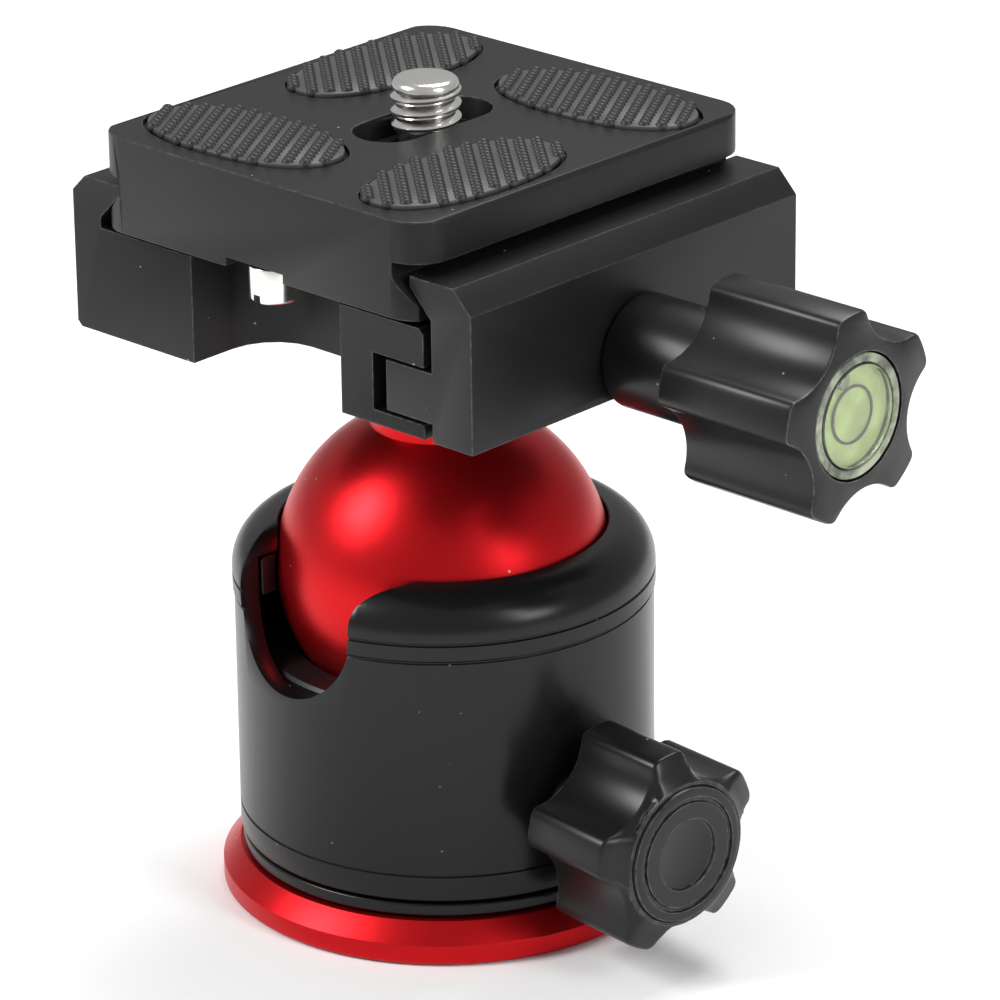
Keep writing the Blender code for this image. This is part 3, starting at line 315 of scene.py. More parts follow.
class Finish:
    """One material under construction, with short ways to add and join its nodes."""

    def __init__(self, name):
        self.material = bpy.data.materials.new(name)
        self.material.use_nodes = True
        self.tree = self.material.node_tree
        self.shader = self.tree.nodes["Principled BSDF"]
        self.place = self.tree.nodes.new("ShaderNodeTexCoord").outputs["Object"]

    def set(self, **values):
        """Give the shader its plain values."""
        for key, value in values.items():
            self.shader.inputs[key.replace("_", " ")].default_value = value

    def group(self, tree, **values):
        """Place an effect in this material."""
        node = self.tree.nodes.new("ShaderNodeGroup")
        node.node_tree = tree
        for key, value in values.items():
            node.inputs[key.replace("_", " ")].default_value = value
        self.join(self.place, node.inputs["Vector"])
        return node

    def join(self, out, into):
        """Link an output to an input."""
        self.tree.links.new(out, into)


def effect(name, inputs, outputs):
    """An empty shader node group with float inputs, a Vector input and float outputs."""
    tree = bpy.data.node_groups.new(name, "ShaderNodeTree")
    tree.interface.new_socket("Vector", in_out="INPUT", socket_type="NodeSocketVector")
    for socket, value in inputs.items():
        made = tree.interface.new_socket(socket, in_out="INPUT", socket_type="NodeSocketFloat")
        made.default_value = value
    for socket in outputs:
        tree.interface.new_socket(socket, in_out="OUTPUT", socket_type="NodeSocketFloat")
    return tree, tree.nodes.new("NodeGroupInput"), tree.nodes.new("NodeGroupOutput")


def maths(tree, operation, first, second):
    """A math node whose inputs are sockets or numbers."""
    node = tree.nodes.new("ShaderNodeMath")
    node.operation = operation
    for socket, value in zip(node.inputs, (first, second)):
        if isinstance(value, (int, float)):
            socket.default_value = value
        else:
            tree.links.new(value, socket)
    return node.outputs[0]


def noise_of(tree, vector, scale, detail=2.0):
    """A noise texture's value."""
    node = tree.nodes.new("ShaderNodeTexNoise")
    node.inputs["Detail"].default_value = detail
    tree.links.new(vector, node.inputs["Vector"])
    if isinstance(scale, (int, float)):
        node.inputs["Scale"].default_value = scale
    else:
        tree.links.new(scale, node.inputs["Scale"])
    return node.outputs[0]


def ramp_of(tree, value, low, high):
    """A value stretched so that low becomes 0 and high becomes 1."""
    node = tree.nodes.new("ShaderNodeMapRange")
    node.inputs["From Min"].default_value = low
    node.inputs["From Max"].default_value = high
    tree.links.new(value, node.inputs["Value"])
    return node.outputs["Result"]


def blasted_grain():
    """Bead-blasted metal: a fine pitted grain, slow clouds in the gloss, and rare bright specks."""
    scales = {"Scale": 9000.0, "Cloud Scale": 60.0, "Speck Scale": 1400.0}
    tree, given, out = effect("blasted grain", scales, ["Grain", "Cloud", "Speck"])
    vector = given.outputs["Vector"]
    tree.links.new(noise_of(tree, vector, given.outputs["Scale"], 3.0), out.inputs["Grain"])
    tree.links.new(noise_of(tree, vector, given.outputs["Cloud Scale"], 3.0), out.inputs["Cloud"])
    dots = tree.nodes.new("ShaderNodeTexVoronoi")
    tree.links.new(vector, dots.inputs["Vector"])
    tree.links.new(given.outputs["Speck Scale"], dots.inputs["Scale"])
    split = tree.nodes.new("ShaderNodeSeparateColor")
    tree.links.new(dots.outputs["Color"], split.inputs["Color"])
    speck_size, speck_rarity = 0.16, 0.985
    near = maths(tree, "LESS_THAN", dots.outputs["Distance"], speck_size)
    rare = maths(tree, "GREATER_THAN", split.outputs[0], speck_rarity)
    tree.links.new(maths(tree, "MULTIPLY", near, rare), out.inputs["Speck"])
    return tree


def lathe_marks():
    """Turned metal: fine rings about the Z axis that show as bands along it."""
    tree, given, out = effect("lathe marks", {"Rings": 2600.0}, ["Mark"])
    squeeze = 0.02
    split = tree.nodes.new("ShaderNodeSeparateXYZ")
    tree.links.new(given.outputs["Vector"], split.inputs[0])
    join = tree.nodes.new("ShaderNodeCombineXYZ")
    tree.links.new(maths(tree, "MULTIPLY", split.outputs["X"], squeeze), join.inputs["X"])
    tree.links.new(maths(tree, "MULTIPLY", split.outputs["Y"], squeeze), join.inputs["Y"])
    tree.links.new(split.outputs["Z"], join.inputs["Z"])
    tree.links.new(noise_of(tree, join.outputs[0], given.outputs["Rings"], 4.0), out.inputs["Mark"])
    return tree


def worn_and_highlit_edges():
    """A mask along sharp edges, where a rounded normal leaves the flat one, broken up by noise; it marks edges
    rubbed to bare metal and also a painted edge highlight.
    """
    tree, given, out = effect("edge wear and painted highlight", {"Breakup": 1500.0}, ["Wear"])
    rounded = tree.nodes.new("ShaderNodeBevel")
    rounded.samples = 4
    rounded.inputs["Radius"].default_value = 0.00022
    alike = tree.nodes.new("ShaderNodeVectorMath")
    alike.operation = "DOT_PRODUCT"
    tree.links.new(rounded.outputs["Normal"], alike.inputs[0])
    tree.links.new(tree.nodes.new("ShaderNodeNewGeometry").outputs["Normal"], alike.inputs[1])
    edge = ramp_of(tree, alike.outputs["Value"], 0.985, 0.93)
    patches = noise_of(tree, given.outputs["Vector"], given.outputs["Breakup"], 3.0)
    patchy = ramp_of(tree, patches, 0.30, 0.72)
    tree.links.new(maths(tree, "MULTIPLY", edge, patchy), out.inputs["Wear"])
    return tree


GRAIN = blasted_grain()
LATHE = lathe_marks()
# Edge mask for rubbed bare metal and a painted edge highlight.
WEAR_AND_HIGHLIGHT = worn_and_highlit_edges()
SPECK_GREY = (0.5, 0.5, 0.5)
# Bare grey for sharp edges: real rubbed metal, and also a painted edge highlight.
BARE_METAL_AND_HIGHLIGHT = (0.34, 0.34, 0.35)
DRY_RUBBER = (0.05, 0.05, 0.052)


def blended(finish, mask, under, over, strength=1.0):
    """A colour, or an incoming socket's, that goes to another one where the mask says."""
    mix = finish.tree.nodes.new("ShaderNodeMix")
    mix.data_type = "RGBA"
    if isinstance(under, tuple):
        mix.inputs["A"].default_value = (*under, 1)
    else:
        finish.join(under, mix.inputs["A"])
    mix.inputs["B"].default_value = (*over, 1)
    finish.join(maths(finish.tree, "MULTIPLY", mask, strength), mix.inputs["Factor"])
    return mix.outputs["Result"]


def bumped(finish, height, strength, distance):
    """Turn a height into the shader's normal."""
    bump = finish.tree.nodes.new("ShaderNodeBump")
    bump.inputs["Strength"].default_value = strength
    bump.inputs["Distance"].default_value = distance
    finish.join(height, bump.inputs["Height"])
    finish.join(bump.outputs["Normal"], finish.shader.inputs["Normal"])


def rough_by(finish, mask, low, high):
    """Vary the roughness with a noise, whose values lie mostly between 0.3 and 0.7."""
    spread = finish.tree.nodes.new("ShaderNodeMapRange")
    spread.inputs["From Min"].default_value = 0.3
    spread.inputs["From Max"].default_value = 0.7
    spread.inputs["To Min"].default_value = low
    spread.inputs["To Max"].default_value = high
    finish.join(mask, spread.inputs["Value"])
    finish.join(spread.outputs["Result"], finish.shader.inputs["Roughness"])


def anodised(name, colour, lighter, roughness, grain_depth, speck, wear_and_highlight, metallic=0.0, shine=0.5,
             turned=False):
    """Anodised aluminium: dyed metal with a blasted or turned surface, bright specks, and sharp edges greyed both
    as rubbed bare metal and as a painted edge highlight.
    """
    finish = Finish(name)
    finish.set(Metallic=metallic, Specular_IOR_Level=shine)
    grain = finish.group(GRAIN)
    wear_highlight_node = finish.group(WEAR_AND_HIGHLIGHT)
    base = blended(finish, grain.outputs["Grain"], colour, lighter)
    base = blended(finish, grain.outputs["Speck"], base, SPECK_GREY, speck)
    # Sharp edges turn bare grey: partly rubbed metal, partly a painted edge highlight.
    base = blended(finish, wear_highlight_node.outputs["Wear"], base, BARE_METAL_AND_HIGHLIGHT, wear_and_highlight)
    finish.join(base, finish.shader.inputs["Base Color"])
    rough_by(finish, grain.outputs["Cloud"], roughness * 0.86, roughness * 1.16)
    height = grain.outputs["Grain"]
    if turned:
        height = finish.group(LATHE).outputs["Mark"]
    bumped(finish, height, 0.35, grain_depth)
    return finish.material


def bright_metal(name, colour, roughness):
    """Plated or bare metal with faint turning marks."""
    finish = Finish(name)
    finish.set(Metallic=1.0)
    grain = finish.group(GRAIN, Scale=2500.0)
    darker = tuple(0.8 * part for part in colour)
    base = blended(finish, grain.outputs["Cloud"], colour, darker)
    finish.join(base, finish.shader.inputs["Base Color"])
    rough_by(finish, grain.outputs["Cloud"], roughness * 0.7, roughness * 1.4)
    marks = finish.group(LATHE, Rings=4200.0)
    bumped(finish, marks.outputs["Mark"], 0.25, 2e-6)
    return finish.material


def moulded(name, colour, roughness, depth, paler_below=None):
    """Moulded rubber or plastic with a fine dry skin, and paler below a height if one is given."""
    finish = Finish(name)
    grain = finish.group(GRAIN, Scale=5200.0, Speck_Scale=2200.0)
    lighter = tuple(min(1.0, 1.7 * part) for part in colour)
    base = blended(finish, grain.outputs["Grain"], colour, lighter)
    base = blended(finish, grain.outputs["Speck"], base, (0.45, 0.45, 0.45), 0.5)
    if paler_below:
        fade = 0.12 * MM
        split = finish.tree.nodes.new("ShaderNodeSeparateXYZ")
        finish.join(finish.place, split.inputs[0])
        low_down = ramp_of(finish.tree, split.outputs["Z"], paler_below + fade, paler_below)
        base = blended(finish, low_down, base, DRY_RUBBER)
    finish.join(base, finish.shader.inputs["Base Color"])
    rough_by(finish, grain.outputs["Cloud"], roughness * 0.9, min(1.0, roughness * 1.1))
    bumped(finish, grain.outputs["Grain"], 0.4, depth)
    return finish.material


def clear(name, colour, roughness, transmission, shade=0.86):
    """Clear acrylic or tinted liquid, with clouds as dark as the shade makes them."""
    finish = Finish(name)
    finish.set(Transmission_Weight=transmission, IOR=1.45)
    cloud = finish.group(GRAIN, Cloud_Scale=420.0).outputs["Cloud"]
    deeper = tuple(shade * part for part in colour)
    spread = ramp_of(finish.tree, cloud, 0.35, 0.6)
    finish.join(blended(finish, spread, colour, deeper), finish.shader.inputs["Base Color"])
    rough_by(finish, cloud, roughness * 0.8, roughness * 1.2)
    return finish.material


RED = anodised("satin red anodised", (0.50, 0.004, 0.008), (0.66, 0.014, 0.018), roughness=0.36,
               grain_depth=6e-6, speck=0.7, wear_and_highlight=0.1, metallic=0.9)
BLACK = anodised("blasted black anodised", (0.0045, 0.0045, 0.005), (0.012, 0.012, 0.013), roughness=0.40,
                 grain_depth=6e-6, speck=0.55, wear_and_highlight=0.35, shine=0.26)
CASING = anodised("turned black anodised", (0.0045, 0.0045, 0.005), (0.008, 0.008, 0.009), roughness=0.27,
                  grain_depth=4e-6, speck=0.2, wear_and_highlight=0.0, shine=0.3, turned=True)
KNOB = anodised("smooth black anodised", (0.005, 0.005, 0.0055), (0.010, 0.010, 0.011), roughness=0.32,
                grain_depth=3e-6, speck=0.4, wear_and_highlight=0.5, shine=0.34)
CHROME = bright_metal("nickel plate", (0.95, 0.93, 0.89), roughness=0.18)
STEEL = bright_metal("turned steel", (0.52, 0.52, 0.53), roughness=0.34)
BRASS = bright_metal("turned brass", (0.70, 0.50, 0.22), roughness=0.32)
CHANNEL_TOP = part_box("left_front_pad")[1].z - 0.4 * MM
RUBBER = moulded("ribbed rubber", (0.006, 0.006, 0.0065), roughness=0.5, depth=1.2e-5,
                 paler_below=CHANNEL_TOP)
PLASTIC = moulded("black plastic", (0.007, 0.007, 0.0075), roughness=0.38, depth=4e-6)
NYLON = moulded("white nylon", (0.62, 0.60, 0.55), roughness=0.45, depth=4e-6)
LIQUID = clear("level liquid", (0.66, 0.86, 0.26), roughness=0.06, transmission=0.0)
VIAL = clear("vial acrylic", (0.52, 0.58, 0.42), roughness=0.12, transmission=0.3, shade=0.22)
WINDOW = clear("window acrylic", (0.96, 0.98, 0.95), roughness=0.03, transmission=0.97)

SLOT_FINISH = {
    "anodised_red": RED,
    "anodised_black": BLACK,
    "black_gloss": KNOB,
    "steel": STEEL,
    "chrome": CHROME,
    "brass": BRASS,
    "rubber": RUBBER,
    "black_plastic": PLASTIC,
    "white_nylon": NYLON,
    "level_liquid": LIQUID,
    "clear_window": WINDOW,
}


def dress_cad_nodes():
    """Give every CAD node its slot's finish. Most are then replaced by finer pieces."""
    for part in frame["record"]["subparts"]:
        node = frame["nodes"][part["node"]]
        for material_slot in node.material_slots:
            material_slot.material = SLOT_FINISH[part["material_slot"]]


# ---- base and casing ----


def make_base():
    """The red foot with its crisp conical top."""
    top = box_of("pan_base")[1].z
    radius, rim, shoulder = reach_of("pan_base"), 1.87, 3.63
    hole = reach_of("tripod_thread_insert") + 0.3
    top_r, hub_r = reach_of("housing") - 0.05, 7.5
    roof = top - 1.6
    profile = eased([
        (hole, 0, 0.15), (radius, 0, 0.3), (radius, rim, 0.12), (top_r, shoulder, 0.12),
        (hub_r, shoulder, 0.2), (hub_r, top, 0.3), (0, top, 0), (0, roof, 0), (hole, roof, 0),
    ])
    piece(spun(profile), "red_foot", "base", RED, ["pan_base"])


def make_thread_insert():
    """The steel insert with its screw thread."""
    low, high = box_of("tripod_thread_insert")
    outer, inner, ridge_depth = reach_of("tripod_thread_insert"), 3.0, 0.45
    wall = inner + 0.2
    shape = spun([(wall, low.z + 0.3), (wall + 0.3, low.z), (outer, low.z), (outer, high.z), (wall, high.z)],
                 HOLE_ROUND)
    ridge = helix(inner + 0.35, ridge_depth, TRIPOD_PITCH, low.z + 0.6, high.z - 0.9, inward=True)
    joined(shape, ridge)
    piece(shape, "threaded_insert", "base", STEEL, ["tripod_thread_insert"])


def helix(root, depth, pitch, low, high, inward=False, per_turn=36):
    """A screw thread's ridge as a V section spun up its helix."""
    bm = bmesh.new()
    tip = -depth if inward else depth
    crest, shoulder = root + tip, root + tip * 0.85
    foot_half, shoulder_half, crest_half = pitch * 0.42, pitch * 0.16, pitch * 0.09
    section = [(root, -foot_half), (shoulder, -shoulder_half), (crest, -crest_half), (crest, crest_half),
               (shoulder, shoulder_half), (root, foot_half)]
    start = low + foot_half
    face = bm.faces.new([bm.verts.new((r, 0, start + h)) for r, h in section])
    turns = (high - low - 2 * foot_half) / pitch
    steps = max(4, round(per_turn * turns))
    bmesh.ops.spin(bm, geom=bm.verts[:] + bm.edges[:] + [face], cent=(0, 0, 0), axis=(0, 0, 1),
                   dvec=(0, 0, pitch * turns / steps), angle=math.tau * turns, steps=steps)
    bmesh.ops.recalc_face_normals(bm, faces=bm.faces)
    return bm


def joined(target, extra):
    """Add another closed shape to the same piece."""
    mesh = bpy.data.meshes.new("passing")
    extra.to_mesh(mesh)
    extra.free()
    target.from_mesh(mesh)
    bpy.data.meshes.remove(mesh)
    return target


def make_plug():
    """The thin black ring between foot and casing."""
    low, high = box_of("bottom_plug")
    radius, hole, recess_r = reach_of("bottom_plug"), 8.0, 14.3
    boss = reach_of("housing") - 2.25
    recess_z, step_z = low.z + 1.0, low.z + 1.17
    profile = eased([
        (hole, recess_z, 0), (recess_r, recess_z, 0), (recess_r, low.z, 0), (radius, low.z, 0.2),
        (radius, step_z, 0.25), (boss, step_z, 0), (boss, high.z, 0.2), (hole, high.z, 0),
    ])
    piece(spun(profile), "plug_ring", "housing", CASING, ["bottom_plug"])


def notch(half, bottom_z, top_z, fillet):
    """The drop notch's shape, open to the front."""
    right = arc(half + fillet, top_z - fillet, fillet, math.pi, math.pi / 2, 8)
    left = [(-u, v) for u, v in reversed(right)]
    reach, beyond = half + fillet, 60
    top = [(reach, beyond), (-reach, beyond)]
    outline = arc(0, bottom_z, half, math.pi, math.tau, 32) + right + top + left
    return along_y(pushed(outline, -beyond, -1))


def seat_radius(height):
    """The seats' radius at a height, where they follow the ball."""
    return math.sqrt(SEAT_R**2 - (height - BALL_Z) ** 2)


def make_casing():
    """The turned casing: a groove, a stepped band, a domed lip, the drop notch and the screw's hole."""
    low, high = box_of("housing")
    band = reach_of("housing")
    side, bore, dome_r = band - 0.15, band - 1.95, 3.9
    groove, line, step = side - 0.16, band - 0.18, side - 0.12
    groove_z, step_z, line_z = low.z + 2.55, BALL_Z - 2.05, BALL_Z - 0.3
    dome_z, lip_z = high.z - 3.95, high.z - 1.75
    dome = arc(band - dome_r, dome_z, dome_r, 0, math.radians(84), 20)
    lip_r = seat_radius(high.z)
    profile = [
        (bore, low.z + 0.3), (bore + 0.3, low.z), (side - 0.35, low.z), (side - 0.1, low.z + 0.1),
        (side, low.z + 0.35), (side, groove_z - 0.16), (groove, groove_z - 0.06),
        (groove, groove_z + 0.06), (side, groove_z + 0.16), (side, WALL_RINGS[0]), (side, WALL_RINGS[1]),
        (side, step_z - 0.12), (step, step_z), (step, step_z + 0.08), (band, step_z + 0.32),
        (band, line_z - 0.12), (line, line_z), (line, line_z + 0.1), (band, line_z + 0.24),
        (band, dome_z - 0.02), *dome[1:], (lip_r + 0.12, high.z), (lip_r, high.z - 0.12),
        (seat_radius(lip_z), lip_z), (bore, lip_z),
    ]
    hole_r, hole_ends = 4.9, (5, 40)
    hole = spun([(0, hole_ends[0]), (hole_r, hole_ends[0]), (hole_r, hole_ends[1]), (0, hole_ends[1])],
                HOLE_ROUND)
    cut = notch(NOTCH_HALF, BALL_Z - 0.3, high.z, NOTCH_FILLET)
    shape = carved(spun(profile), cut, shifted(along_x(hole), z=LOCK_Z))

    def at_notch(edge):
        first, second = edge.verts[0].co, edge.verts[1].co
        middle = (first + second) / 2
        beside = abs(middle.x) > NOTCH_HALF + 0.1
        level = abs(first.z - second.z) < 0.02 and middle.z > 25
        near = middle.y < -10 and abs(middle.x) < NOTCH_HALF + NOTCH_FILLET + 0.6 and middle.z > 22
        return near and not (level and beside)

    soften(shape, 0.35, 50, keep=at_notch)
    shifted(shape, turn=PAN_TURN)
    piece(shape, "casing", "housing", CASING, ["housing"], sharp=28)


def make_seats():
    """The black plastic seat ring and cup whose edges show in the notch."""
    low, high = box_of("upper_ball_seat")
    outer = reach_of("upper_ball_seat")
    inner = [(seat_radius(z), z) for z in (high.z, BALL_Z + 1, BALL_Z, low.z)]
    ring = spun(inner + [(outer, low.z), (outer, high.z)])
    ring = carved(ring, notch(NOTCH_HALF + 0.1, BALL_Z - 0.3, high.z + 2.05, 0.6))
    soften(ring, 0.15, 50, 1)
    piece(shifted(ring, turn=PAN_TURN), "seat_ring", "housing", PLASTIC, ["upper_ball_seat"])
    low, high = box_of("lower_ball_cup")
    outer, hole, steps = reach_of("lower_ball_cup"), 9.5, 12
    start = BALL_Z - math.sqrt(SEAT_R**2 - hole**2)
    heights = [start + (high.z - start) * step / steps for step in range(steps + 1)]
    seat = [(seat_radius(z), z) for z in heights]
    cup = spun(seat + [(outer - 0.3, high.z), (outer, high.z - 0.3), (outer, low.z), (hole, low.z)])
    piece(cup, "ball_cup", "ball_cup", PLASTIC, ["lower_ball_cup"])


def make_ball():
    """The red ball with its neck."""
    low, high = box_of("ball")
    radius, neck, hole = BALL_Z - low.z, 6.6, 3.0
    neck_starts = math.acos(neck / radius)
    sphere = arc(0, BALL_Z, radius, -math.pi / 2, neck_starts, 64)
    hole_z = high.z - 6.65
    profile = [
        (0, low.z), *sphere[1:], (neck, sphere[-1][1] + 0.25), (neck, high.z - 0.3),
        (neck - 0.3, high.z), (hole, high.z), (hole, hole_z), (0, hole_z),
    ]
    piece(spun(profile), "ball_and_neck", "ball", RED, ["ball"])


# ---- knobs ----


def lobed(lobe_r=LOBE_R, edge=0.8):
    """The hand knobs' outline: round lobes, softened where the scallops cut into them."""
    top_steps, dip_steps = 8, 18
    cosine = (lobe_r**2 + SCALLOP_CENTRE_R**2 - SCALLOP_R**2) / (2 * lobe_r * SCALLOP_CENTRE_R)
    half_gap = math.acos(cosine)
    pitch = math.tau / LOBES
    half_lobe = pitch / 2 - half_gap
    reach = math.atan2(lobe_r * math.sin(half_gap), SCALLOP_CENTRE_R - lobe_r * math.cos(half_gap))
    trim = edge / lobe_r
    dip_trim = edge / SCALLOP_R
    points = []
    for lobe in range(LOBES):
        middle = FIRST_LOBE + pitch * lobe
        gap = middle + pitch / 2
        corner = Vector((lobe_r * math.cos(middle + half_lobe), lobe_r * math.sin(middle + half_lobe)))
        top = arc(0, 0, lobe_r, middle - half_lobe + trim, middle + half_lobe - trim, top_steps)
        centre = (SCALLOP_CENTRE_R * math.cos(gap), SCALLOP_CENTRE_R * math.sin(gap))
        half_dip = reach - dip_trim
        dip = arc(*centre, SCALLOP_R, gap + math.pi + half_dip, gap + math.pi - half_dip, dip_steps)
        next_corner = Vector((lobe_r * math.cos(gap + half_gap), lobe_r * math.sin(gap + half_gap)))
        next_top = (lobe_r * math.cos(gap + half_gap + trim), lobe_r * math.sin(gap + half_gap + trim))
        points += top + bend(top[-1], corner, dip[0]) + dip + bend(dip[-1], next_corner, next_top)
    return points


def bend(first, corner, last, steps=4):
    """Points that round a corner between two others, without those two."""
    first, last = Vector(first), Vector(last)
    points = []
    for step in range(1, steps):
        t = step / steps
        point = first * (1 - t) ** 2 + corner * 2 * t * (1 - t) + last * t**2
        points.append(point[:])
    return points


def make_lock_knob():
    """The lock knob: lobes whose front slopes back from a round boss."""
    low, high = span_along("lock_knob", LOCK_AXIS)
    boss, boss_high = 6.75, span_along("lock_knob_cap", LOCK_AXIS)[1] - 0.35
    outline = lobed(edge=0.7)
    shape = stacked([
        (shrunk(outline, 0.35), low),
        (shrunk(outline, 0.1), low + 0.1),
        (outline, low + 0.35),
        (outline, high - 0.45),
        (shrunk(outline, 0.06), high - 0.2),
        (shrunk(outline, 0.25), high - 0.02),
        (rounded_off(shrunk(outline, 0.5), boss + 1.2), high + 0.35),
        (rounded_off(outline, boss + 0.15), boss_high - 0.12),
        (rounded_off(outline, boss), boss_high),
    ])
    recess_r, recess = 6.48, high - 1.6
    bore = spun([(0, low - 1), (KNOB_BORE_R, low - 1), (KNOB_BORE_R, recess), (recess_r, recess),
                 (recess_r, high + 3), (0, high + 3)], KNOB_ROUND)
    shape = on_lock(carved(shape, bore))
    piece(shape, "lock_knob_grip", "lock_knob", KNOB, ["lock_knob"], sharp=38)


def make_lock_cap():
    """The cap in the lock knob's front, with a ring groove and a dished middle."""
    low, high = span_along("lock_knob_cap", LOCK_AXIS)
    stub, flange, radius = 3.1, high - 2.6, 6.4
    ring_out, ring_in, dish = 5.45, 4.95, 3.1
    groove, face, floor = high - 0.25, high - 0.02, high - 0.4
    profile = [
        (0, low), (stub, low), (stub, flange), (radius, flange), (radius, high - 0.3),
        (radius - 0.12, high - 0.08), (radius - 0.35, high), (ring_out, high), (ring_out - 0.1, groove),
        (ring_in + 0.1, groove), (ring_in, face), (dish + 0.35, face), (dish + 0.25, high - 0.08),
        (dish + 0.15, high - 0.32), (dish, floor), (0, floor),
    ]
    shape = on_lock(spun(profile, KNOB_ROUND))
    piece(shape, "lock_cap", "lock_knob", KNOB, ["lock_knob_cap"], sharp=30)


def make_lock_shaft():
    """The bushing's collar and the lock screw."""
    low, high = span_along("lock_screw_bushing", LOCK_AXIS)
    inner, outer = KNOB_BORE_R, 4.6
    profile = eased([(inner, low, 0), (outer, low, 0), (outer, high, 0.3), (inner, high, 0.2)])
    collar = on_lock(spun(profile, SMALL_ROUND))
    piece(collar, "bushing_collar", "housing", KNOB, ["lock_screw_bushing"])
    low, high = span_along("lock_screw", LOCK_AXIS)
    core, depth, pitch = 2.45, 0.45, 1.0
    shape = spun([(0, low), (core - 0.35, low), (core, low + 0.4), (core, high), (0, high)], SMALL_ROUND)
    joined(shape, helix(core - 0.05, depth, pitch, low + 0.6, high - 0.2))
    piece(on_lock(shape), "lock_screw_thread", "lock_knob", STEEL, ["lock_screw"])


def make_clamp_knob():
    """The clamp knob with the pocket for its bubble level."""
    low, high = span_x("clamp_knob")
    outline = lobed(edge=0.6)
    edge, corner = 0.32, 0.09
    shape = stacked([
        (shrunk(outline, edge), low),
        (shrunk(outline, corner), low + corner),
        (outline, low + edge),
        (outline, high - edge),
        (shrunk(outline, corner), high - corner),
        (shrunk(outline, edge), high),
    ])
    bore_end, pocket_r, pocket_end = low + 6.4, 5.72, high - 5.3
    bore = spun([(0, low - 1), (KNOB_BORE_R, low - 1), (KNOB_BORE_R, bore_end), (0, bore_end)], HOLE_ROUND)
    pocket = spun([(0, pocket_end), (pocket_r, pocket_end), (pocket_r, high + 1), (0, high + 1)],
                  KNOB_ROUND)
    shape = on_screw(carved(shape, bore, pocket))
    piece(shape, "clamp_knob_grip", "clamp_knob", KNOB, ["clamp_knob"], sharp=38)


def make_sleeve():
    """The spacer sleeve between jaw and knob."""
    low, high = box_of("knob_sleeve")
    inner, outer = KNOB_BORE_R, (high.z - low.z) / 2
    profile = eased([(inner, low.x, 0), (outer, low.x, 0.3), (outer, high.x, 0.3), (inner, high.x, 0)])
    shape = on_screw(spun(profile, KNOB_ROUND))
    piece(shape, "spacer_sleeve", "jaw", KNOB, ["knob_sleeve"])


def make_level():
    """The round bubble level: clear cup, green liquid, ring mark, bubble and window."""
    low, high = span_x("level_housing")
    outer, inner, floor, rim = 5.55, 4.75, low + 0.8, high - 0.1
    profile = eased([(0, low, 0), (outer, low, 0.1), (outer, rim, 0.12), (inner, rim, 0.1),
                     (inner, floor, 0.2), (0, floor, 0)])
    cup = on_screw(spun(profile, KNOB_ROUND))
    piece(cup, "vial_cup", "clamp_knob", VIAL, ["level_housing"])
    low, high = span_x("level_liquid")
    profile = eased([(0, low, 0), (LEVEL_R, low, 0.3), (LEVEL_R, high, 0.2), (0, high, 0)])
    liquid = on_screw(spun(profile, KNOB_ROUND))
    piece(liquid, "vial_liquid", "clamp_knob", LIQUID, ["level_liquid"])
    mark_in, mark_out, back, front = 2.35, 2.58, high + 0.06, high + 0.14
    ring = spun([(mark_in, back), (mark_out, back), (mark_out, front), (mark_in, front)], KNOB_ROUND)
    piece(on_screw(ring), "ring_mark", "clamp_knob", PLASTIC)
    bubble_r, flatness, bubble_y, bubble_rise = 0.8, 0.18, -1.2, 3.3
    bubble = bmesh.new()
    bmesh.ops.create_uvsphere(bubble, u_segments=32, v_segments=16, radius=bubble_r)
    bmesh.ops.scale(bubble, vec=(flatness, 1, 1), verts=bubble.verts)
    bmesh.ops.translate(bubble, vec=(front, bubble_y, SCREW_Z + bubble_rise), verts=bubble.verts)
    piece(bubble, "air_bubble", "clamp_knob", WINDOW)
    low, high = span_x("level_window")
    pane = high - 0.05
    profile = eased([(0, low, 0), (LEVEL_R, low, 0), (LEVEL_R, pane, 0.2), (0, pane, 0)])
    window = on_screw(spun(profile, KNOB_ROUND))
    piece(window, "vial_window", "clamp_knob", WINDOW, ["level_window"])


# ---- clamp and plate ----


def make_clamp():
    """The clamp's milled body and jaw with their edges broken."""
    edge = 0.22
    body = soften(cad_copy("clamp_body"), edge)
    piece(body, "milled_body", "clamp", BLACK, ["clamp_body"], sharp=24)
    jaw = soften(cad_copy("moving_jaw"), edge)
    piece(jaw, "milled_jaw", "jaw", BLACK, ["moving_jaw"], sharp=24)


def make_plate():
    """The plate with its broken edges, slot and pad pockets."""
    plate = soften(cad_copy("quick_release_plate"), 0.14)
    piece(plate, "milled_plate", "plate", BLACK, ["quick_release_plate"], sharp=24)


def inside_pad(u, v, half_u, half_v):
    """Whether a point lies on the pad."""
    return abs(u / half_u) ** PAD_POWER + abs(v / half_v) ** PAD_POWER < 1


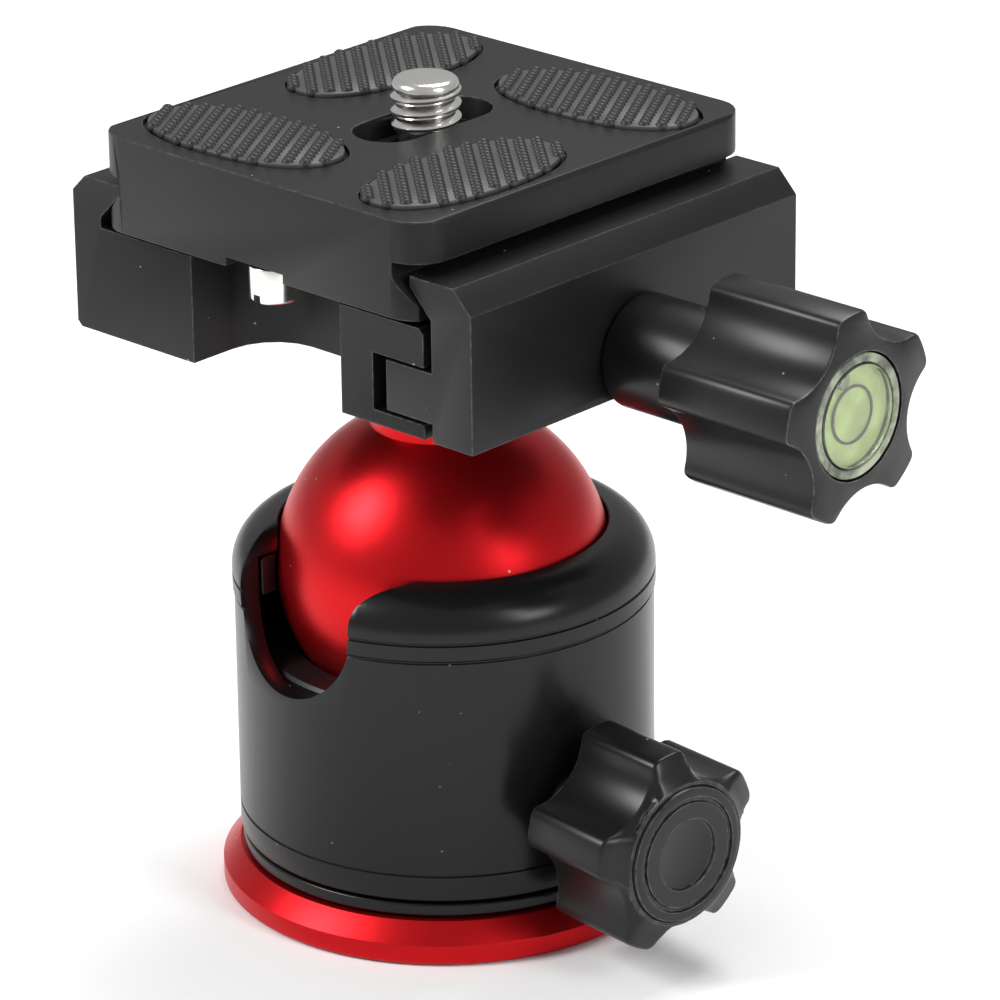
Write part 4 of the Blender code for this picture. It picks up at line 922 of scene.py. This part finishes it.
def make_pad(node, name, ridge_angle):
    """A rubber pad: a thin sheet with rows of beads, cut off raggedly at its outline."""
    low, high = box_of(node)
    middle, half = (low + high) / 2, (high - low) / 2
    half_u, half_v = half.x - SHEET_INSET, half.y - SHEET_INSET
    outline = []
    for step in range(PAD_POINTS):
        cosine, sine = math.cos(math.tau * step / PAD_POINTS), math.sin(math.tau * step / PAD_POINTS)
        u = math.copysign(half_u * abs(cosine) ** (2 / PAD_POWER), cosine)
        v = math.copysign(half_v * abs(sine) ** (2 / PAD_POWER), sine)
        outline.append((u, v))
    sheet_top = high.z - BEAD_STAND
    pad = pushed(outline, low.z, sheet_top)
    soften(pad, 0.08, 50, 1)
    along = Vector((math.cos(ridge_angle), math.sin(ridge_angle), 0))
    across = Vector((-along.y, along.x, 0))
    bead = bead_shape(along, across, high.z - sheet_top)
    rows = int(2 * max(half.x, half.y) / RIDGE_PITCH)
    beads = int(2 * max(half.x, half.y) / BEAD_PITCH)
    for row in range(-rows, rows + 1):
        for step in range(-beads, beads + 1):
            place = across * (row + 0.5) * RIDGE_PITCH + along * step * BEAD_PITCH
            if inside_pad(place.x, place.y, half.x - BEAD_MARGIN, half.y - BEAD_MARGIN):
                before = set(pad.verts)
                pad.from_mesh(bead)
                new = [v for v in pad.verts if v not in before]
                bmesh.ops.translate(pad, vec=(place.x, place.y, sheet_top), verts=new)
    bpy.data.meshes.remove(bead)
    piece(shifted(pad, middle.x, middle.y, 0), name, "plate", RUBBER, [node], sharp=60)


def bead_shape(along, across, height):
    """One round bead of a ridge."""
    bm = bmesh.new()
    bmesh.ops.create_uvsphere(bm, u_segments=8, v_segments=6, radius=1)
    bmesh.ops.scale(bm, vec=BEAD_HALF, verts=bm.verts)
    bmesh.ops.translate(bm, vec=(0, 0, height - BEAD_HALF[2]), verts=bm.verts)
    turn = Matrix((along, across, Vector((0, 0, 1)))).transposed()
    bmesh.ops.rotate(bm, cent=(0, 0, 0), matrix=turn, verts=bm.verts)
    mesh = bpy.data.meshes.new("bead")
    bm.to_mesh(mesh)
    bm.free()
    return mesh


def make_camera_screw():
    """The camera screw with its head, its relieved shank and its real thread."""
    low, high = box_of("camera_screw")
    head_r, head, top = 6.0, low.z + 2.3, high.z
    relief, root, crest, tip = 2.4, 2.68, 3.175, 3.0
    thread_z = top - 5.8
    profile = [
        (0, low.z), (head_r - 0.4, low.z), (head_r, low.z + 0.4), (head_r, head - 0.2),
        (head_r - 0.2, head), (relief, head), (relief, thread_z), (root, thread_z + 0.25),
        (root, top - 1.05), (tip, top - 0.9), (tip, top - 0.55), (2.86, top - 0.28),
        (2.62, top - 0.07), (2.35, top), (0, top),
    ]
    shape = spun(profile, KNOB_ROUND)
    foot, thread_end = root - 0.05, top - 0.55
    joined(shape, helix(foot, crest - foot, TRIPOD_PITCH, thread_z + 0.1, thread_end, per_turn=72))
    shifted(shape, SCREW_X, SCREW_Y)
    piece(shape, "camera_screw_thread", "camera_screw", CHROME, ["camera_screw"], sharp=28)


def make_stop_screw(node):
    """A small slotted stop screw under one end of the plate."""
    low, high = box_of(node)
    middle = (low + high) / 2
    head, head_r, shank_r = low.z + 3.25, 2.25, 1.3
    profile = eased([(0, low.z, 0), (head_r, low.z, 0.3), (head_r, head, 0.1), (shank_r, head, 0),
                     (shank_r, high.z, 0), (0, high.z, 0)])
    slot_half, slot_low, slot_high = 0.4, low.z - 1, low.z + 0.8
    slot = [(-slot_half, slot_low), (slot_half, slot_low), (slot_half, slot_high), (-slot_half, slot_high)]
    shape = carved(spun(profile, SMALL_ROUND), along_y(pushed(slot, -5, 5)))
    piece(shifted(shape, middle.x, middle.y), "chromed_" + node, "plate", CHROME, [node])


# ---- studio ----


def make_floor():
    """A plain pale floor."""
    bm = bmesh.new()
    bmesh.ops.create_grid(bm, x_segments=4, y_segments=4, size=3.0)
    mesh = bpy.data.meshes.new("floor")
    bm.to_mesh(mesh)
    bm.free()
    pale = Finish("pale floor")
    cloud = pale.group(GRAIN, Scale=40.0, Cloud_Scale=2.0).outputs["Cloud"]
    base = blended(pale, cloud, (0.93, 0.93, 0.93), (0.90, 0.90, 0.90))
    pale.join(base, pale.shader.inputs["Base Color"])
    pale.set(Roughness=0.9)
    mesh.materials.append(pale.material)
    floor = bpy.data.objects.new("floor", mesh)
    floor.location.z = FLOOR_Z
    bpy.context.scene.collection.objects.link(floor)


def make_light(name, place, target, size, power):
    """A rectangular soft box that faces the target."""
    lamp = bpy.data.lights.new(name, "AREA")
    lamp.shape = "RECTANGLE"
    lamp.size, lamp.size_y = size
    lamp.energy = power
    obj = bpy.data.objects.new(name, lamp)
    obj.location = place
    obj.rotation_euler = (Vector(target) - Vector(place)).to_track_quat("-Z", "Y").to_euler()
    bpy.context.scene.collection.objects.link(obj)


def make_studio():
    """White surroundings and three soft boxes."""
    world = bpy.data.worlds.new("studio")
    world.use_nodes = True
    background = world.node_tree.nodes["Background"]
    background.inputs["Color"].default_value = (1, 1, 1, 1)
    background.inputs["Strength"].default_value = WORLD_STRENGTH
    bpy.context.scene.world = world
    bpy.context.scene.view_settings.view_transform = "Standard"
    middle = (0, 0, 0.04)
    make_light("left_box", (-0.28, -0.42, 0.42), middle, (0.22, 0.26), 2.9)
    make_light("right_box", (0.50, 0.02, 0.30), middle, (0.16, 0.30), 1.35)
    make_light("top_box", (-0.05, 0.25, 0.60), middle, (0.34, 0.34), 2.8)


def make_camera():
    """The camera, level but for a slight roll."""
    lens = bpy.data.cameras.new("camera")
    lens.lens, lens.sensor_width = CAMERA_LENS, SENSOR
    lens.clip_start, lens.clip_end = 0.05, 20.0
    camera = bpy.data.objects.new("camera", lens)
    a, e = CAMERA_AZIMUTH, CAMERA_ELEVATION
    back = Vector((math.sin(a) * math.cos(e), -math.cos(a) * math.cos(e), math.sin(e)))
    right = Vector((math.cos(a), math.sin(a), 0))
    up = back.cross(right)
    c, s = math.cos(CAMERA_ROLL), math.sin(CAMERA_ROLL)
    axes = (right * c + up * s, up * c - right * s, back)
    camera.matrix_world = Matrix.Translation(CAMERA_PLACE) @ Matrix(axes).transposed().to_4x4()
    bpy.context.scene.collection.objects.link(camera)
    bpy.context.scene.camera = camera


make_floor()
make_studio()
make_camera()
dress_cad_nodes()
make_base()
make_thread_insert()
make_plug()
make_casing()
make_seats()
make_ball()
make_lock_knob()
make_lock_cap()
make_lock_shaft()
make_clamp_knob()
make_sleeve()
make_level()
make_clamp()
make_plate()
make_pad("left_rear_pad", "ribbed_pad_left_rear", math.radians(138))
make_pad("right_rear_pad", "ribbed_pad_right_rear", math.radians(121))
make_pad("right_front_pad", "ribbed_pad_right_front", math.radians(138))
make_pad("left_front_pad", "ribbed_pad_left_front", math.radians(121))
make_camera_screw()
make_stop_screw("front_stop_screw")
make_stop_screw("rear_stop_screw")
